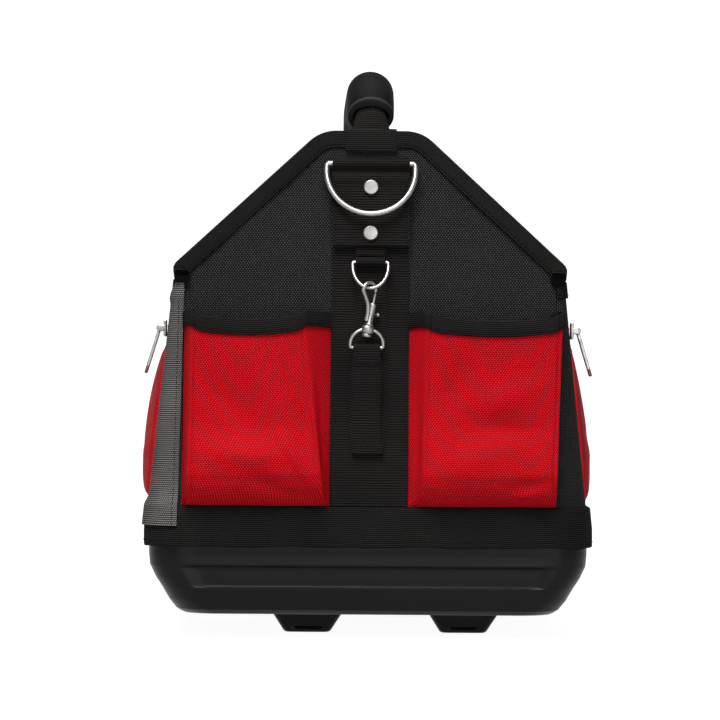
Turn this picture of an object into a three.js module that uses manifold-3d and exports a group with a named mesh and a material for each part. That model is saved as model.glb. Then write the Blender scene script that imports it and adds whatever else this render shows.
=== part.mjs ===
// An open top tool tote: a moulded tray on six feet, leaning cloth walls, a pentagonal panel at each
// end, outer pockets, a riveted tubular handle, and a trigger snap on a strap at the front end.
import * as THREE from "three";
import { mergeVertices } from "three/addons/utils/BufferGeometryUtils.js";
import Module from "manifold-3d";

const wasm = await Module();
wasm.setup();

// Driving dimensions in millimetres. Z is up, the front end faces -Y, and X is to the right of
// someone who faces it. Heights up an end are measured along the leaning face from the wall's foot.
const GAP = 0.3;
const MERGE = 1e-4;
const OVERCUT = 5;

// Moulded tray and feet
const FOOT_HEIGHT = 15.3;
const FOOT_TOP_WIDTH = 49;
const FOOT_TOP_DEPTH = 40;
const FOOT_SOLE_WIDTH = 30;
const FOOT_SOLE_DEPTH = 26;
const FOOT_ROW_SPACING = 115;
// How far the middle of each column of feet stands in from that edge of the tray's underside.
const FOOT_INSETS = { left: 80, right: 55 };
const TRAY_HEIGHT = 55.2;
const TRAY_WALL = 3.2;
const TRAY_FLOOR = 3.5;
const TRAY_SIDE_TAPER = 23;
const TRAY_END_TAPER = 12;
const TRAY_CLEARANCE = 0.7;
const RECESS_DEPTH = 1.2;
const RECESS_CORNER = 21;
// Outer levels of the tray: height and the two insets as shares of the tray's height and tapers.
const TRAY_LEVELS = [
  { height: 0, side: 1, end: 1 },
  { height: 0.055, side: 0.78, end: 0.58 },
  { height: 0.167, side: 0.57, end: 0.33 },
  { height: 0.315, side: 0.37, end: 0.1 },
  { height: 0.574, side: 0.03, end: 0.04 },
  { height: 1, side: 0, end: 0 },
];
const RECESS_FROM = 0.325;
const RECESS_TO = 0.565;

// Sliding latch plate under the tray
const LATCH_LENGTH = 44;
const LATCH_WIDTH = 48;
const LATCH_THICKNESS = 2.6;
const LATCH_LIP = 3.5;
const LATCH_LIP_DROP = 1.3;
const LATCH_SIDE_SET = 5;
const RAIL_LENGTH = 34;
const RAIL_WALL = 2.5;
const RAIL_FLANGE = 1.5;

// Cloth body
const WALL = 3;
const WALL_HEIGHT = 159.7;
const BODY_HALF_WIDTH = 142.7;
const BODY_HALF_LENGTH = 197.7;
const SIDE_LEAN_IN = 16.7;
const END_LEAN_IN = 12;
const CORNER_TOP_RADIUS = 5.5;
const WALL_BULGE = 2;
const BAND_HEIGHT = 26;
const BAND_OVERLAP = 11;
const BAND_THICKNESS = 2.5;
const BINDING_WIDTH = 11;
const BINDING_PLY = 1.2;

// End panels
const SHOULDER_HEIGHT = 175.3;
const PANEL_HEIGHT = 257;
const PANEL_TOP_HALF_WIDTH = 32;
const PANEL_TOP_RADIUS = 25;
const PANEL_SHOULDER_RADIUS = 10;
const TAB_WIDTH = 33;
const TAB_DROP = 12;
const TAB_THICKNESS = 1;

// Webbing, patch, rings and rivets on the ends
const CENTER_WEBBING_WIDTH = 50;
const WEBBING = 1.4;
const TAPE = 1.1;
const PATCH_LENGTH = 53.6;
const WEBBING_LAP = 2.1;
const COVERED_LAP = 4.4;
const D_BAR_BELOW_TOP = 20.6;
const D_WIRE = 1.8;
const D_HALF_WIDTH = 28.7;
const D_DROP = 34.6;
const D_CORNER = 3.4;
const RIVET_DROPS = { upper: 15.6, lower: 45.2 };
const RIVET_SHANK = 2.3;
const RIVET_HEAD = 4.9;
const RIVET_HEAD_HEIGHT = 1.8;
const SMALL_BAR_DROP = 64.2;
const SMALL_WIRE = 1.1;
const SMALL_HALF_WIDTH = 11.5;
const SMALL_DROP = 19.2;
const SMALL_CORNER = 1.6;
const SMALL_TILT = THREE.MathUtils.degToRad(25);
const SMALL_LOOP_WIDTH = 19.2;
const SMALL_LOOP_PLY = 1.2;
const TAPE_WIDTH = 19.6;
const STRAP_FOLD_RISE = 34.5;
const STRAP_FRONT_X = -2.7;
const STRAP_BACK_X = 0.9;

// Trigger snap, in its own frame: y runs up the barrel from the top of the swivel collar.
const SNAP_TILT = THREE.MathUtils.degToRad(-11.2);
const SNAP_TWIST = THREE.MathUtils.degToRad(42);
const SNAP_LENGTH = 27;
const SNAP_THROAT = 10.8;
const SNAP_HOLD = 3.3;
const SNAP_WIRE = 1.1;
const BARREL_RADIUS = 2.3;
const BARREL_HEIGHT = 14.5;
const BARREL_BORE = 1.5;
const PLUNGER_TRAVEL = 4;
const KNOB_REACH = 6;
const COLLAR_RADIUS = 3.9;
const COLLAR_HEIGHT = 4.7;
const EYE_WIRE = 1.05;
const EYE_HALF_WIDTH = 10.6;
const EYE_BAR_DROP = 14.3;
const EYE_CORNER = 1.8;
const EYE_SHIFT = -1.2;

// Pockets on the ends
const POCKET_HEIGHT = 124.4;
const POCKET_DEPTH = 16;
const POCKET_SHEET = 1.8;
const POCKET_SAG = 5;
const POCKET_CROWN = 1.2;
const POCKET_BINDING_HEIGHT = 9.5;
const POCKET_PLY = 1.1;
const POCKET_FACE_COLUMNS = 5;
// Seams and folded edges of each pocket, as shares of the way from the webbing to the panel's edge,
// at the bottom and at the mouth.
const POCKET_SIDES = [
  { name: "left", side: -1, seam: [1.004, 0.968], outer: [0.973, 0.952], inner: [0.039, 0.187] },
  { name: "right", side: 1, seam: [1.004, 0.99], outer: [0.99, 1.03], inner: [0.092, 0.12] },
];
// How deep the pocket stands at each share of its height.
const POCKET_DEPTHS = [
  { height: 0, depth: 0.12 },
  { height: 0.05, depth: 0.66 },
  { height: 0.16, depth: 1 },
  { height: 0.42, depth: 0.8 },
  { height: 0.75, depth: 0.86 },
  { height: 1, depth: 1 },
];

// Pockets and zips on the sides
const SIDE_POCKET_FROM_WEBBING = 8.7;
const SIDE_POCKET_HEIGHT = 104.7;
const SIDE_POCKET_BULGE = 12;
const SIDE_POCKET_SHEET = 1.8;
const ZIP_HEIGHT = 17.7;
const ZIP_TAPE = 1.2;
const ZIP_TEETH_WIDTH = 5;
const ZIP_TEETH_RISE = 1.3;
const SLIDER_LENGTH = 9;
const SLIDER_WIDTH = 11;
const SLIDER_THICKNESS = 2.2;
const SLIDER_FROM_END = 5;
const EAR_RISE = 3.4;
const PULL_BAR = 0.9;
const PULL_LENGTH = 31;
const PULL_WIDTH = 8;
const PULL_THICKNESS = 1.6;
const PULL_TILT = THREE.MathUtils.degToRad(17);

// Reinforcing webbing on the left side's corners
const CORNER_WEBBING_WIDTH = 46;
const CORNER_WEBBING = 1.2;
const CORNER_WEBBING_TOP_OVERLAP = 3.5;
const CORNER_WEBBING_FOOT_SET = 1.6;

// Handle
const LEG_HALF_WIDTH = 14.7;
const LEG_HALF_THICKNESS = 3;
const LEG_LENGTH = 52;
const BAR_HALF_WIDTH = 11;
const BAR_HALF_HEIGHT = 8;
const BEND_RADIUS = 60;
const HANDLE_RISE = 28.3;
const GRIP_RADIUS = 15.5;
const BEND_STEPS = 6;
const GRIP_FROM_STEP = 3;

// Worked-out places
const TRAY_FLOOR_Z = FOOT_HEIGHT + GAP;
const TRAY_TOP_Z = TRAY_FLOOR_Z + TRAY_HEIGHT;
const WALL_FOOT_Z = TRAY_TOP_Z + GAP;
const WALL_TOP_Z = WALL_FOOT_Z + WALL_HEIGHT;
const BAND_TOP_Z = TRAY_TOP_Z - BAND_OVERLAP + BAND_HEIGHT;
const END_LEAN = Math.atan(END_LEAN_IN / WALL_HEIGHT);
const PANEL_HALF_WIDTH = BODY_HALF_WIDTH - SIDE_LEAN_IN - CORNER_TOP_RADIUS - GAP;
const BINDING_OUT = GAP + BINDING_PLY;
const BINDING_RIM = GAP + 1;
const FACE_BOTTOM = (BAND_TOP_Z + GAP - WALL_FOOT_Z) / Math.cos(END_LEAN);
const SIDE_BINDING_TOP_Z = WALL_TOP_Z + BINDING_RIM;
const PANEL_BINDING_FOOT = (SIDE_BINDING_TOP_Z + 2 * GAP - WALL_FOOT_Z) / Math.cos(END_LEAN);
const D_BAR_HEIGHT = PANEL_HEIGHT - D_BAR_BELOW_TOP;
const D_BAR_OUT = GAP + WEBBING + GAP + D_WIRE;
const PATCH_FOOT = D_BAR_HEIGHT - PATCH_LENGTH;
const SMALL_BAR_HEIGHT = D_BAR_HEIGHT - SMALL_BAR_DROP;
const TAPE_OUT = GAP + WEBBING + GAP;
const LOOP_STUB_OUT = TAPE_OUT + TAPE + GAP;
const SMALL_BAR_OUT = LOOP_STUB_OUT + SMALL_WIRE + GAP + SMALL_LOOP_PLY;
const COVERED_TOP = PATCH_FOOT + COVERED_LAP;
const FRONT_PLY_OUT = { front: LOOP_STUB_OUT + SMALL_LOOP_PLY + GAP, back: TAPE_OUT };
const LEG_OUT = -(WALL + BINDING_OUT + 2 * GAP + LEG_HALF_THICKNESS);
const HANDLE_Z = WALL_FOOT_Z + PANEL_HEIGHT * Math.cos(END_LEAN) + HANDLE_RISE;
const WEB_EDGE = CENTER_WEBBING_WIDTH / 2 + GAP;
const POCKET_SPAN = PANEL_HALF_WIDTH - WEB_EDGE;
const SIDE_POCKET_HALF_LENGTH = BODY_HALF_LENGTH - CORNER_WEBBING_WIDTH - SIDE_POCKET_FROM_WEBBING;
const SIDE_POCKET_TOP_Z = BAND_TOP_Z + GAP + SIDE_POCKET_HEIGHT;

const CLOTH = { color: 0x2a2a2a, roughness: 0.85, metalness: 0 };
const TRIM = { color: 0x1e1c1b, roughness: 0.9, metalness: 0 };
const RED_CLOTH = { color: 0xb7131c, roughness: 0.75, metalness: 0 };
const GREY_WEBBING = { color: 0x53514f, roughness: 0.9, metalness: 0 };
const MOULDED = { color: 0x1e1c1b, roughness: 0.55, metalness: 0 };
const RED_PLASTIC = { color: 0xb0121b, roughness: 0.45, metalness: 0 };
const STEEL = { color: 0xadaaa9, roughness: 0.35, metalness: 1 };
const RUBBER = { color: 0x232223, roughness: 0.65, metalness: 0 };

const tote = new THREE.Group();

// Adds a named mesh to a group.
function place(parent, name, geometry, look) {
  geometry.computeVertexNormals();
  const mesh = new THREE.Mesh(geometry, new THREE.MeshStandardMaterial(look));
  mesh.name = name;
  parent.add(mesh);
  return mesh;
}

const point = (x, y, z) => new THREE.Vector3(x, y, z);
const flat = (x, y) => new THREE.Vector2(x, y);
const mix = (pair, share) => pair[0] + (pair[1] - pair[0]) * share;

// Looks a value up in a table of rows by a key column, with straight lines between the rows.
function lookUp(table, key, share, column) {
  const next = table.findIndex((row) => row[key] >= share);
  if (next <= 0) return table[next === 0 ? 0 : table.length - 1][column];
  const [low, high] = [table[next - 1], table[next]];
  return mix([low[column], high[column]], (share - low[key]) / (high[key] - low[key]));
}

// A geometry of shared points whose faces point out.
function facingOut(points, index) {
  let volume = 0;
  for (let i = 0; i < index.length; i += 3) {
    const [a, b, c] = [points[index[i]], points[index[i + 1]], points[index[i + 2]]];
    volume += a.dot(b.clone().cross(c));
  }
  const turned = volume < 0 ? index.toReversed() : index;
  return new THREE.BufferGeometry().setFromPoints(points).setIndex(turned);
}

// Any closed geometry with its vertices shared and its faces pointing out.
function shared(geometry) {
  const bare = new THREE.BufferGeometry();
  bare.setAttribute("position", geometry.getAttribute("position"));
  bare.setIndex(geometry.index);
  const merged = mergeVertices(bare, MERGE);
  const positions = merged.getAttribute("position");
  const points = Array.from({ length: positions.count }, (_, i) =>
    new THREE.Vector3().fromBufferAttribute(positions, i),
  );
  const index = [];
  for (let i = 0; i < merged.index.count; i += 3) {
    const [a, b, c] = [0, 1, 2].map((k) => merged.index.getX(i + k));
    if (a !== b && b !== c && a !== c) index.push(a, b, c);
  }
  return facingOut(points, index);
}

function solidOf(geometry) {
  const closed = shared(geometry);
  return new wasm.Manifold(
    new wasm.Mesh({
      numProp: 3,
      vertProperties: closed.getAttribute("position").array,
      triVerts: new Uint32Array(closed.index.array),
    }),
  );
}

function geometryOf(solid) {
  const mesh = solid.getMesh();
  return new THREE.BufferGeometry()
    .setAttribute("position", new THREE.BufferAttribute(mesh.vertProperties, 3))
    .setIndex(new THREE.BufferAttribute(mesh.triVerts, 1));
}

const cut = (geometry, ...tools) =>
  geometryOf(tools.reduce((left, tool) => left.subtract(solidOf(tool)), solidOf(geometry)));

const join = (geometry, ...others) =>
  geometryOf(others.reduce((sum, other) => sum.add(solidOf(other)), solidOf(geometry)));

// A box between two corners.
function block(from, to) {
  const size = to.clone().sub(from);
  const middle = from.clone().add(to).multiplyScalar(0.5);
  return new THREE.BoxGeometry(size.x, size.y, size.z).translate(middle.x, middle.y, middle.z);
}

// A thin wall between two grids of points, closed round its border.
function sheetSolid(outer, inner) {
  const [rows, columns] = [outer.length, outer[0].length];
  const points = [...outer.flat(), ...inner.flat()];
  const o = (i, j) => i * columns + j;
  const n = (i, j) => rows * columns + o(i, j);
  const index = [];
  const quad = (a, b, c, d) => index.push(a, b, c, a, c, d);
  const [lastRow, lastColumn] = [rows - 1, columns - 1];
  for (let i = 0; i < lastRow; i++) {
    for (let j = 0; j < lastColumn; j++) {
      quad(o(i, j), o(i + 1, j), o(i + 1, j + 1), o(i, j + 1));
      quad(n(i, j), n(i, j + 1), n(i + 1, j + 1), n(i + 1, j));
    }
    quad(o(i, 0), n(i, 0), n(i + 1, 0), o(i + 1, 0));
    quad(o(i + 1, lastColumn), n(i + 1, lastColumn), n(i, lastColumn), o(i, lastColumn));
  }
  for (let j = 0; j < lastColumn; j++) {
    quad(o(0, j + 1), n(0, j + 1), n(0, j), o(0, j));
    quad(o(lastRow, j), n(lastRow, j), n(lastRow, j + 1), o(lastRow, j + 1));
  }
  return facingOut(points, index);
}

// A skin through rings of points. Its ends are capped, or it closes on its first ring.
function loftSolid(rings, closed = false) {
  const sides = rings[0].length;
  const points = rings.flat();
  const index = [];
  const spans = closed ? rings.length : rings.length - 1;
  for (let i = 0; i < spans; i++) {
    const [here, there] = [i * sides, ((i + 1) % rings.length) * sides];
    for (let j = 0; j < sides; j++) {
      const k = (j + 1) % sides;
      index.push(here + j, here + k, there + k, here + j, there + k, there + j);
    }
  }
  if (!closed) {
    for (const [ring, start, turn] of [
      [rings[0], 0, true],
      [rings.at(-1), (rings.length - 1) * sides, false],
    ]) {
      const middle = ring.reduce((sum, p) => sum.add(p), point(0, 0, 0)).divideScalar(sides);
      points.push(middle);
      for (let j = 0; j < sides; j++) {
        const pair = [start + j, start + ((j + 1) % sides)];
        index.push(...(turn ? pair.reverse() : pair), points.length - 1);
      }
    }
  }
  return facingOut(points, index);
}

// Rings of a round wire along points in the XY plane.
function wireRings(path, radius, sides, closed) {
  const last = path.length - 1;
  return path.map((p, i) => {
    const before = path[closed ? (i + last) % path.length : Math.max(i - 1, 0)];
    const after = path[closed ? (i + 1) % path.length : Math.min(i + 1, last)];
    const along = after.clone().sub(before).normalize();
    return Array.from({ length: sides }, (_, k) => {
      const angle = (2 * Math.PI * k) / sides;
      const across = radius * Math.cos(angle);
      return point(p.x - along.y * across, p.y + along.x * across, radius * Math.sin(angle));
    });
  });
}

// The line of a D-shaped ring: a straight bar along X at y = 0 and a bow below it.
function bowPath(halfWidth, drop, corner, steps) {
  const path = [];
  const bar = halfWidth - corner;
  for (const x of [-bar, 0, bar]) path.push(flat(x, 0));
  const turn = (from, control, to) => {
    const curve = new THREE.QuadraticBezierCurve(from, control, to);
    path.push(...curve.getPoints(4).slice(1));
  };
  turn(flat(bar, 0), flat(halfWidth, 0), flat(halfWidth, -corner));
  for (let i = 1; i < steps; i++) {
    const angle = (Math.PI * i) / steps;
    path.push(flat(halfWidth * Math.cos(angle), -corner - (drop - corner) * Math.sin(angle)));
  }
  path.push(flat(-halfWidth, -corner));
  turn(flat(-halfWidth, -corner), flat(-halfWidth, 0), flat(-bar, 0));
  path.pop();
  return path;
}

// Strap along a path of { x, out, h, share }: x is the middle of its width, and share is the part
// of its full width that it has there, if less than all.
function ribbonSolid(path, width, thickness) {
  const last = path.length - 1;
  const rings = path.map((p, i) => {
    const [before, after] = [path[Math.max(i - 1, 0)], path[Math.min(i + 1, last)]];
    const along = flat(after.out - before.out, after.h - before.h).normalize();
    const [acrossOut, acrossH] = [(-along.y * thickness) / 2, (along.x * thickness) / 2];
    return [
      [-1, -1],
      [1, -1],
      [1, 1],
      [-1, 1],
    ].map(([edge, face]) =>
      point(
        p.x + (edge * width * (p.share ?? 1)) / 2,
        p.h + face * acrossH,
        p.out + face * acrossOut,
      ),
    );
  });
  return loftSolid(rings);
}

// Points of an arc in a strap's path.
function arcPoints(centre, radius, from, to, steps) {
  return Array.from({ length: steps + 1 }, (_, i) => {
    const angle = THREE.MathUtils.degToRad(mix([from, to], i / steps));
    return {
      ...centre,
      out: centre.out + radius * Math.cos(angle),
      h: centre.h + radius * Math.sin(angle),
    };
  });
}

// Outline through corners, each rounded by its radius.
function roundedOutline(corners, radii, steps) {
  return corners.flatMap((corner, i) => {
    if (radii[i] === 0) return [corner];
    const count = corners.length;
    const toBefore = corners[(i + count - 1) % count].clone().sub(corner).normalize();
    const toAfter = corners[(i + 1) % count].clone().sub(corner).normalize();
    const reach = radii[i] / Math.tan(Math.acos(toBefore.dot(toAfter)) / 2);
    const from = corner.clone().addScaledVector(toBefore, reach);
    const to = corner.clone().addScaledVector(toAfter, reach);
    return new THREE.QuadraticBezierCurve(from, corner, to).getPoints(steps);
  });
}

// Convex outline moved inwards by a distance. It runs anticlockwise.
function insetCorners(corners, distance) {
  const count = corners.length;
  return corners.map((corner, i) => {
    const back = corner.clone().sub(corners[(i + count - 1) % count]).normalize();
    const ahead = corners[(i + 1) % count].clone().sub(corner).normalize();
    const [first, second] = [flat(-back.y, back.x), flat(-ahead.y, ahead.x)];
    const sum = first.clone().add(second).divideScalar(1 + first.dot(second));
    return corner.clone().addScaledVector(sum, distance);
  });
}

function slab(outline, from, to) {
  const extruded = new THREE.ExtrudeGeometry(new THREE.Shape(outline), {
    depth: to - from,
    bevelEnabled: false,
  });
  return extruded.translate(0, 0, from);
}

// Rounded rectangle ring at a height.
function planRing(halfWidth, halfLength, radius, z, steps = 4) {
  const ring = [];
  for (let quarter = 0; quarter < 4; quarter++) {
    const signX = quarter === 0 || quarter === 3 ? 1 : -1;
    const signY = quarter < 2 ? 1 : -1;
    for (let i = 0; i <= steps; i++) {
      const angle = (Math.PI / 2) * (quarter + i / steps);
      const x = signX * (halfWidth - radius) + radius * Math.cos(angle);
      const y = signY * (halfLength - radius) + radius * Math.sin(angle);
      ring.push(point(x, y, z));
    }
  }
  return ring;
}

// Half-width, half-length and corner radius of the cloth body at a height.
function planAt(z) {
  const share = Math.max(z - WALL_FOOT_Z, 0) / WALL_HEIGHT;
  const halfWidth = BODY_HALF_WIDTH - SIDE_LEAN_IN * share;
  return {
    halfWidth,
    halfLength: BODY_HALF_LENGTH - END_LEAN_IN * share,
    radius: halfWidth - PANEL_HALF_WIDTH - GAP,
  };
}

// How far the side wall swells at a height and at a share of its straight length.
function swell(z, share) {
  const rise = THREE.MathUtils.clamp((z - BAND_TOP_Z) / (WALL_TOP_Z - BAND_TOP_Z), 0, 1);
  const run = THREE.MathUtils.clamp(share, 0, 1);
  return WALL_BULGE * Math.sin(Math.PI * rise) * Math.sin(Math.PI * run);
}

// A point off the outer face of a side wall. Its place along the wall runs from 0 to 3: the front
// corner, the straight side and the back corner. Past either end it goes on along the end's plane.
function wallPoint(along, z, offset, side) {
  const { halfWidth, halfLength, radius } = planAt(z);
  const end = along < 1.5 ? -1 : 1;
  const fromEnd = along < 1.5 ? along : 3 - along;
  if (along > 1 && along < 2) {
    const y = mix([radius - halfLength, halfLength - radius], along - 1);
    return point(side * (halfWidth + offset + swell(z, along - 1)), y, z);
  }
  const angle = (Math.PI / 2) * Math.max(fromEnd, 0);
  const past = Math.min(fromEnd, 0) * OVERCUT;
  const reach = radius + offset;
  const x = halfWidth - radius + reach * Math.sin(angle) + past;
  const y = halfLength - radius + reach * Math.cos(angle);
  return point(side * x, end * y, z);
}

const WALL_STATIONS = [0, 0.25, 0.5, 0.75, 1, 1.2, 1.4, 1.6, 1.8, 2, 2.25, 2.5, 2.75, 3];

// Grid of points off a side wall.
const wallGrid = (stations, heights, offset, side) =>
  stations.map((along) => heights.map((z) => wallPoint(along, z, offset, side)));

// A point off a side wall at a place along the tote.
function sidePoint(y, z, offset, side) {
  const { halfWidth, halfLength, radius } = planAt(z);
  const run = halfLength - radius;
  return point(side * (halfWidth + offset + swell(z, (y + run) / (2 * run))), y, z);
}

// Tray with its recessed strip and the rails that hold the latch plate.
function trayGeometry() {
  const halfWidth = BODY_HALF_WIDTH - TRAY_CLEARANCE;
  const halfLength = BODY_HALF_LENGTH - TRAY_CLEARANCE;
  const radius = planAt(WALL_FOOT_Z).radius - TRAY_CLEARANCE;
  const ringAt = (level, inset) => {
    const cornerRadius = Math.max(radius - inset, TRAY_WALL);
    return planRing(
      halfWidth - TRAY_SIDE_TAPER * level.side - inset,
      halfLength - TRAY_END_TAPER * level.end - inset,
      cornerRadius,
      TRAY_FLOOR_Z + TRAY_HEIGHT * level.height,
    );
  };
  const outer = TRAY_LEVELS.map((level) => ringAt(level, 0));
  const floorShare = TRAY_FLOOR / TRAY_HEIGHT;
  const floorLevel = {
    height: floorShare,
    side: lookUp(TRAY_LEVELS, "height", floorShare, "side"),
    end: lookUp(TRAY_LEVELS, "height", floorShare, "end"),
  };
  const upper = TRAY_LEVELS.filter((level) => level.height > floorShare);
  const inner = [floorLevel, ...upper].map((level) => ringAt(level, TRAY_WALL)).reverse();
  const shell = loftSolid([...outer, ...inner]);
  const recesses = [-1, 1].flatMap((hand) => [
    endRecess(hand, halfLength, halfWidth),
    sideRecess(hand, halfWidth, halfLength),
  ]);
  return join(cut(shell, ...recesses), ...railGeometries());
}

// Cutter for the recessed strip across one end of the tray.
function endRecess(hand, halfLength, halfWidth) {
  const depthAt = (share) =>
    halfLength - TRAY_END_TAPER * lookUp(TRAY_LEVELS, "height", share, "end") - RECESS_DEPTH;
  const profile = [
    flat(depthAt(RECESS_FROM), TRAY_FLOOR_Z + TRAY_HEIGHT * RECESS_FROM),
    flat(halfLength + OVERCUT, TRAY_FLOOR_Z + TRAY_HEIGHT * RECESS_FROM),
    flat(halfLength + OVERCUT, TRAY_FLOOR_Z + TRAY_HEIGHT * RECESS_TO),
    flat(depthAt(RECESS_TO), TRAY_FLOOR_Z + TRAY_HEIGHT * RECESS_TO),
  ];
  const reach = halfWidth - RECESS_CORNER;
  const bar = slab(profile, -reach, reach).rotateX(Math.PI / 2).rotateZ(Math.PI / 2);
  return hand > 0 ? bar : bar.rotateZ(Math.PI);
}

// Cutter for the recessed strip along one side of the tray.
function sideRecess(hand, halfWidth, halfLength) {
  const depthAt = (share) =>
    halfWidth - TRAY_SIDE_TAPER * lookUp(TRAY_LEVELS, "height", share, "side") - RECESS_DEPTH;
  const profile = [
    flat(depthAt(RECESS_FROM), TRAY_FLOOR_Z + TRAY_HEIGHT * RECESS_FROM),
    flat(halfWidth + OVERCUT, TRAY_FLOOR_Z + TRAY_HEIGHT * RECESS_FROM),
    flat(halfWidth + OVERCUT, TRAY_FLOOR_Z + TRAY_HEIGHT * RECESS_TO),
    flat(depthAt(RECESS_TO), TRAY_FLOOR_Z + TRAY_HEIGHT * RECESS_TO),
  ];
  const reach = halfLength - RECESS_CORNER;
  const bar = slab(profile, -reach, reach).rotateX(Math.PI / 2);
  return hand > 0 ? bar : bar.rotateZ(Math.PI);
}

// Left edge of the latch plate, just inside the underside of the tray.
const latchLeft = () => -(BODY_HALF_WIDTH - TRAY_CLEARANCE - TRAY_SIDE_TAPER - LATCH_SIDE_SET);
const latchBottom = () => TRAY_FLOOR_Z - GAP - LATCH_THICKNESS;

// Two rails under the tray, each a post with a flange that holds the latch plate's edge.
function railGeometries() {
  const from = latchLeft() + LATCH_LIP + 2 * GAP;
  const inner = LATCH_WIDTH / 2 + GAP;
  const flangeTop = latchBottom() - GAP;
  return [-1, 1].flatMap((hand) => {
    const post = block(
      point(from, inner, flangeTop - RAIL_FLANGE),
      point(from + RAIL_LENGTH, inner + RAIL_WALL, TRAY_FLOOR_Z + TRAY_FLOOR / 2),
    );
    const flange = block(
      point(from, inner - RAIL_WALL, flangeTop - RAIL_FLANGE),
      point(from + RAIL_LENGTH, inner + RAIL_WALL, flangeTop),
    );
    const rail = join(post, flange);
    return [hand > 0 ? rail : rail.rotateZ(Math.PI).translate(2 * from + RAIL_LENGTH, 0, 0)];
  });
}

// Latch plate with its finger lip.
function latchGeometry() {
  const left = latchLeft();
  const bottom = latchBottom();
  const half = LATCH_WIDTH / 2;
  const plate = block(
    point(left, -half, bottom),
    point(left + LATCH_LENGTH, half, bottom + LATCH_THICKNESS),
  );
  const lip = block(
    point(left, -half, bottom - LATCH_LIP_DROP),
    point(left + LATCH_LIP, half, bottom + LATCH_THICKNESS / 2),
  );
  return join(plate, lip);
}

// Foot that narrows to its sole.
function footGeometry() {
  const ring = (width, depth, z) => planRing(width / 2, depth / 2, depth / 8, z, 2);
  return loftSolid([
    ring(FOOT_SOLE_WIDTH, FOOT_SOLE_DEPTH, 0),
    ring(FOOT_TOP_WIDTH, FOOT_TOP_DEPTH, FOOT_HEIGHT),
  ]);
}

// Cloth band round the foot of the walls and the top of the tray.
function bandGeometry() {
  const heights = [TRAY_TOP_Z - BAND_OVERLAP, WALL_FOOT_Z, BAND_TOP_Z];
  const ringAt = (z, offset) => {
    const plan = planAt(z);
    const [halfWidth, halfLength] = [plan.halfWidth + offset, plan.halfLength + offset];
    return planRing(halfWidth, halfLength, plan.radius + offset, z);
  };
  const outer = heights.map((z) => ringAt(z, GAP + BAND_THICKNESS));
  const inner = heights.map((z) => ringAt(z, GAP)).reverse();
  return loftSolid([...outer, ...inner], true);
}

// Channel of binding over the top edge of a side wall.
function sideBindingGeometry(side) {
  const bottom = SIDE_BINDING_TOP_Z - BINDING_WIDTH;
  const slotTop = WALL_TOP_Z + GAP;
  const cover = [bottom, SIDE_BINDING_TOP_Z];
  const slot = [bottom - OVERCUT, slotTop];
  const pastEnds = [-0.1, ...WALL_STATIONS, 3.1];
  const channel = sheetSolid(
    wallGrid(WALL_STATIONS, cover, BINDING_OUT, side),
    wallGrid(WALL_STATIONS, cover, -WALL - BINDING_OUT, side),
  );
  const groove = sheetSolid(
    wallGrid(pastEnds, slot, GAP, side),
    wallGrid(pastEnds, slot, -WALL - GAP, side),
  );
  return cut(channel, groove);
}

// Webbing sewn over a corner of the left wall: from just outside the end's plane round to the side.
function cornerWebbingGeometry(side, end) {
  const overBand = GAP + BAND_THICKNESS + GAP;
  const overBinding = BINDING_OUT + GAP;
  const rows = [
    { z: BAND_TOP_Z - 0.5 * BAND_HEIGHT, offset: overBand },
    { z: BAND_TOP_Z + GAP, offset: overBand },
    { z: BAND_TOP_Z + 7, offset: GAP },
    { z: (BAND_TOP_Z + WALL_TOP_Z) / 2, offset: GAP },
    { z: SIDE_BINDING_TOP_Z - BINDING_WIDTH - 6, offset: GAP },
    { z: SIDE_BINDING_TOP_Z - BINDING_WIDTH - GAP, offset: overBinding },
    { z: SIDE_BINDING_TOP_Z, offset: overBinding },
  ];
  const stations = [0, 1, 2, 3, 4].map((step) => (Math.PI / 8) * step);
  const grid = (extra) => {
    const columns = rows.map(({ z, offset }) => {
      const rise = (z - rows[0].z) / (rows.at(-1).z - rows[0].z);
      const start = mix([CORNER_WEBBING_FOOT_SET, -CORNER_WEBBING_TOP_OVERLAP], rise);
      const { radius } = planAt(z);
      const bent = stations.map((angle) => Math.max(radius * angle, start + GAP));
      const finish = start + CORNER_WEBBING_WIDTH;
      const lengths = [start, ...bent, mix([bent.at(-1), finish], 0.5), finish];
      return lengths.map((length) => cornerPoint(length, z, offset + extra, side, end));
    });
    return columns[0].map((_, column) => columns.map((row) => row[column]));
  };
  return sheetSolid(grid(CORNER_WEBBING), grid(0));
}

// A point off the wall at a length along it, measured from where the corner's arc leaves the end.
function cornerPoint(length, z, offset, side, end) {
  const { halfWidth, halfLength, radius } = planAt(z);
  const quarter = (radius * Math.PI) / 2;
  if (length > quarter) {
    const y = end * (halfLength - radius - (length - quarter));
    return sidePoint(y, z, offset, side);
  }
  const angle = Math.max(length, 0) / radius;
  const x = halfWidth - radius + (radius + offset) * Math.sin(angle) + Math.min(length, 0);
  const y = halfLength - radius + (radius + offset) * Math.cos(angle);
  return point(side * x, end * y, z);
}

// Group in which x runs right, y up and z out of one end's leaning face.
function faceGroup(turn) {
  const end = new THREE.Group();
  end.rotation.z = turn;
  const face = new THREE.Group();
  face.position.set(0, -BODY_HALF_LENGTH, WALL_FOOT_Z);
  face.rotation.x = Math.PI / 2 - END_LEAN;
  end.add(face);
  tote.add(end);
  end.updateMatrixWorld(true);
  return face;
}

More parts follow.
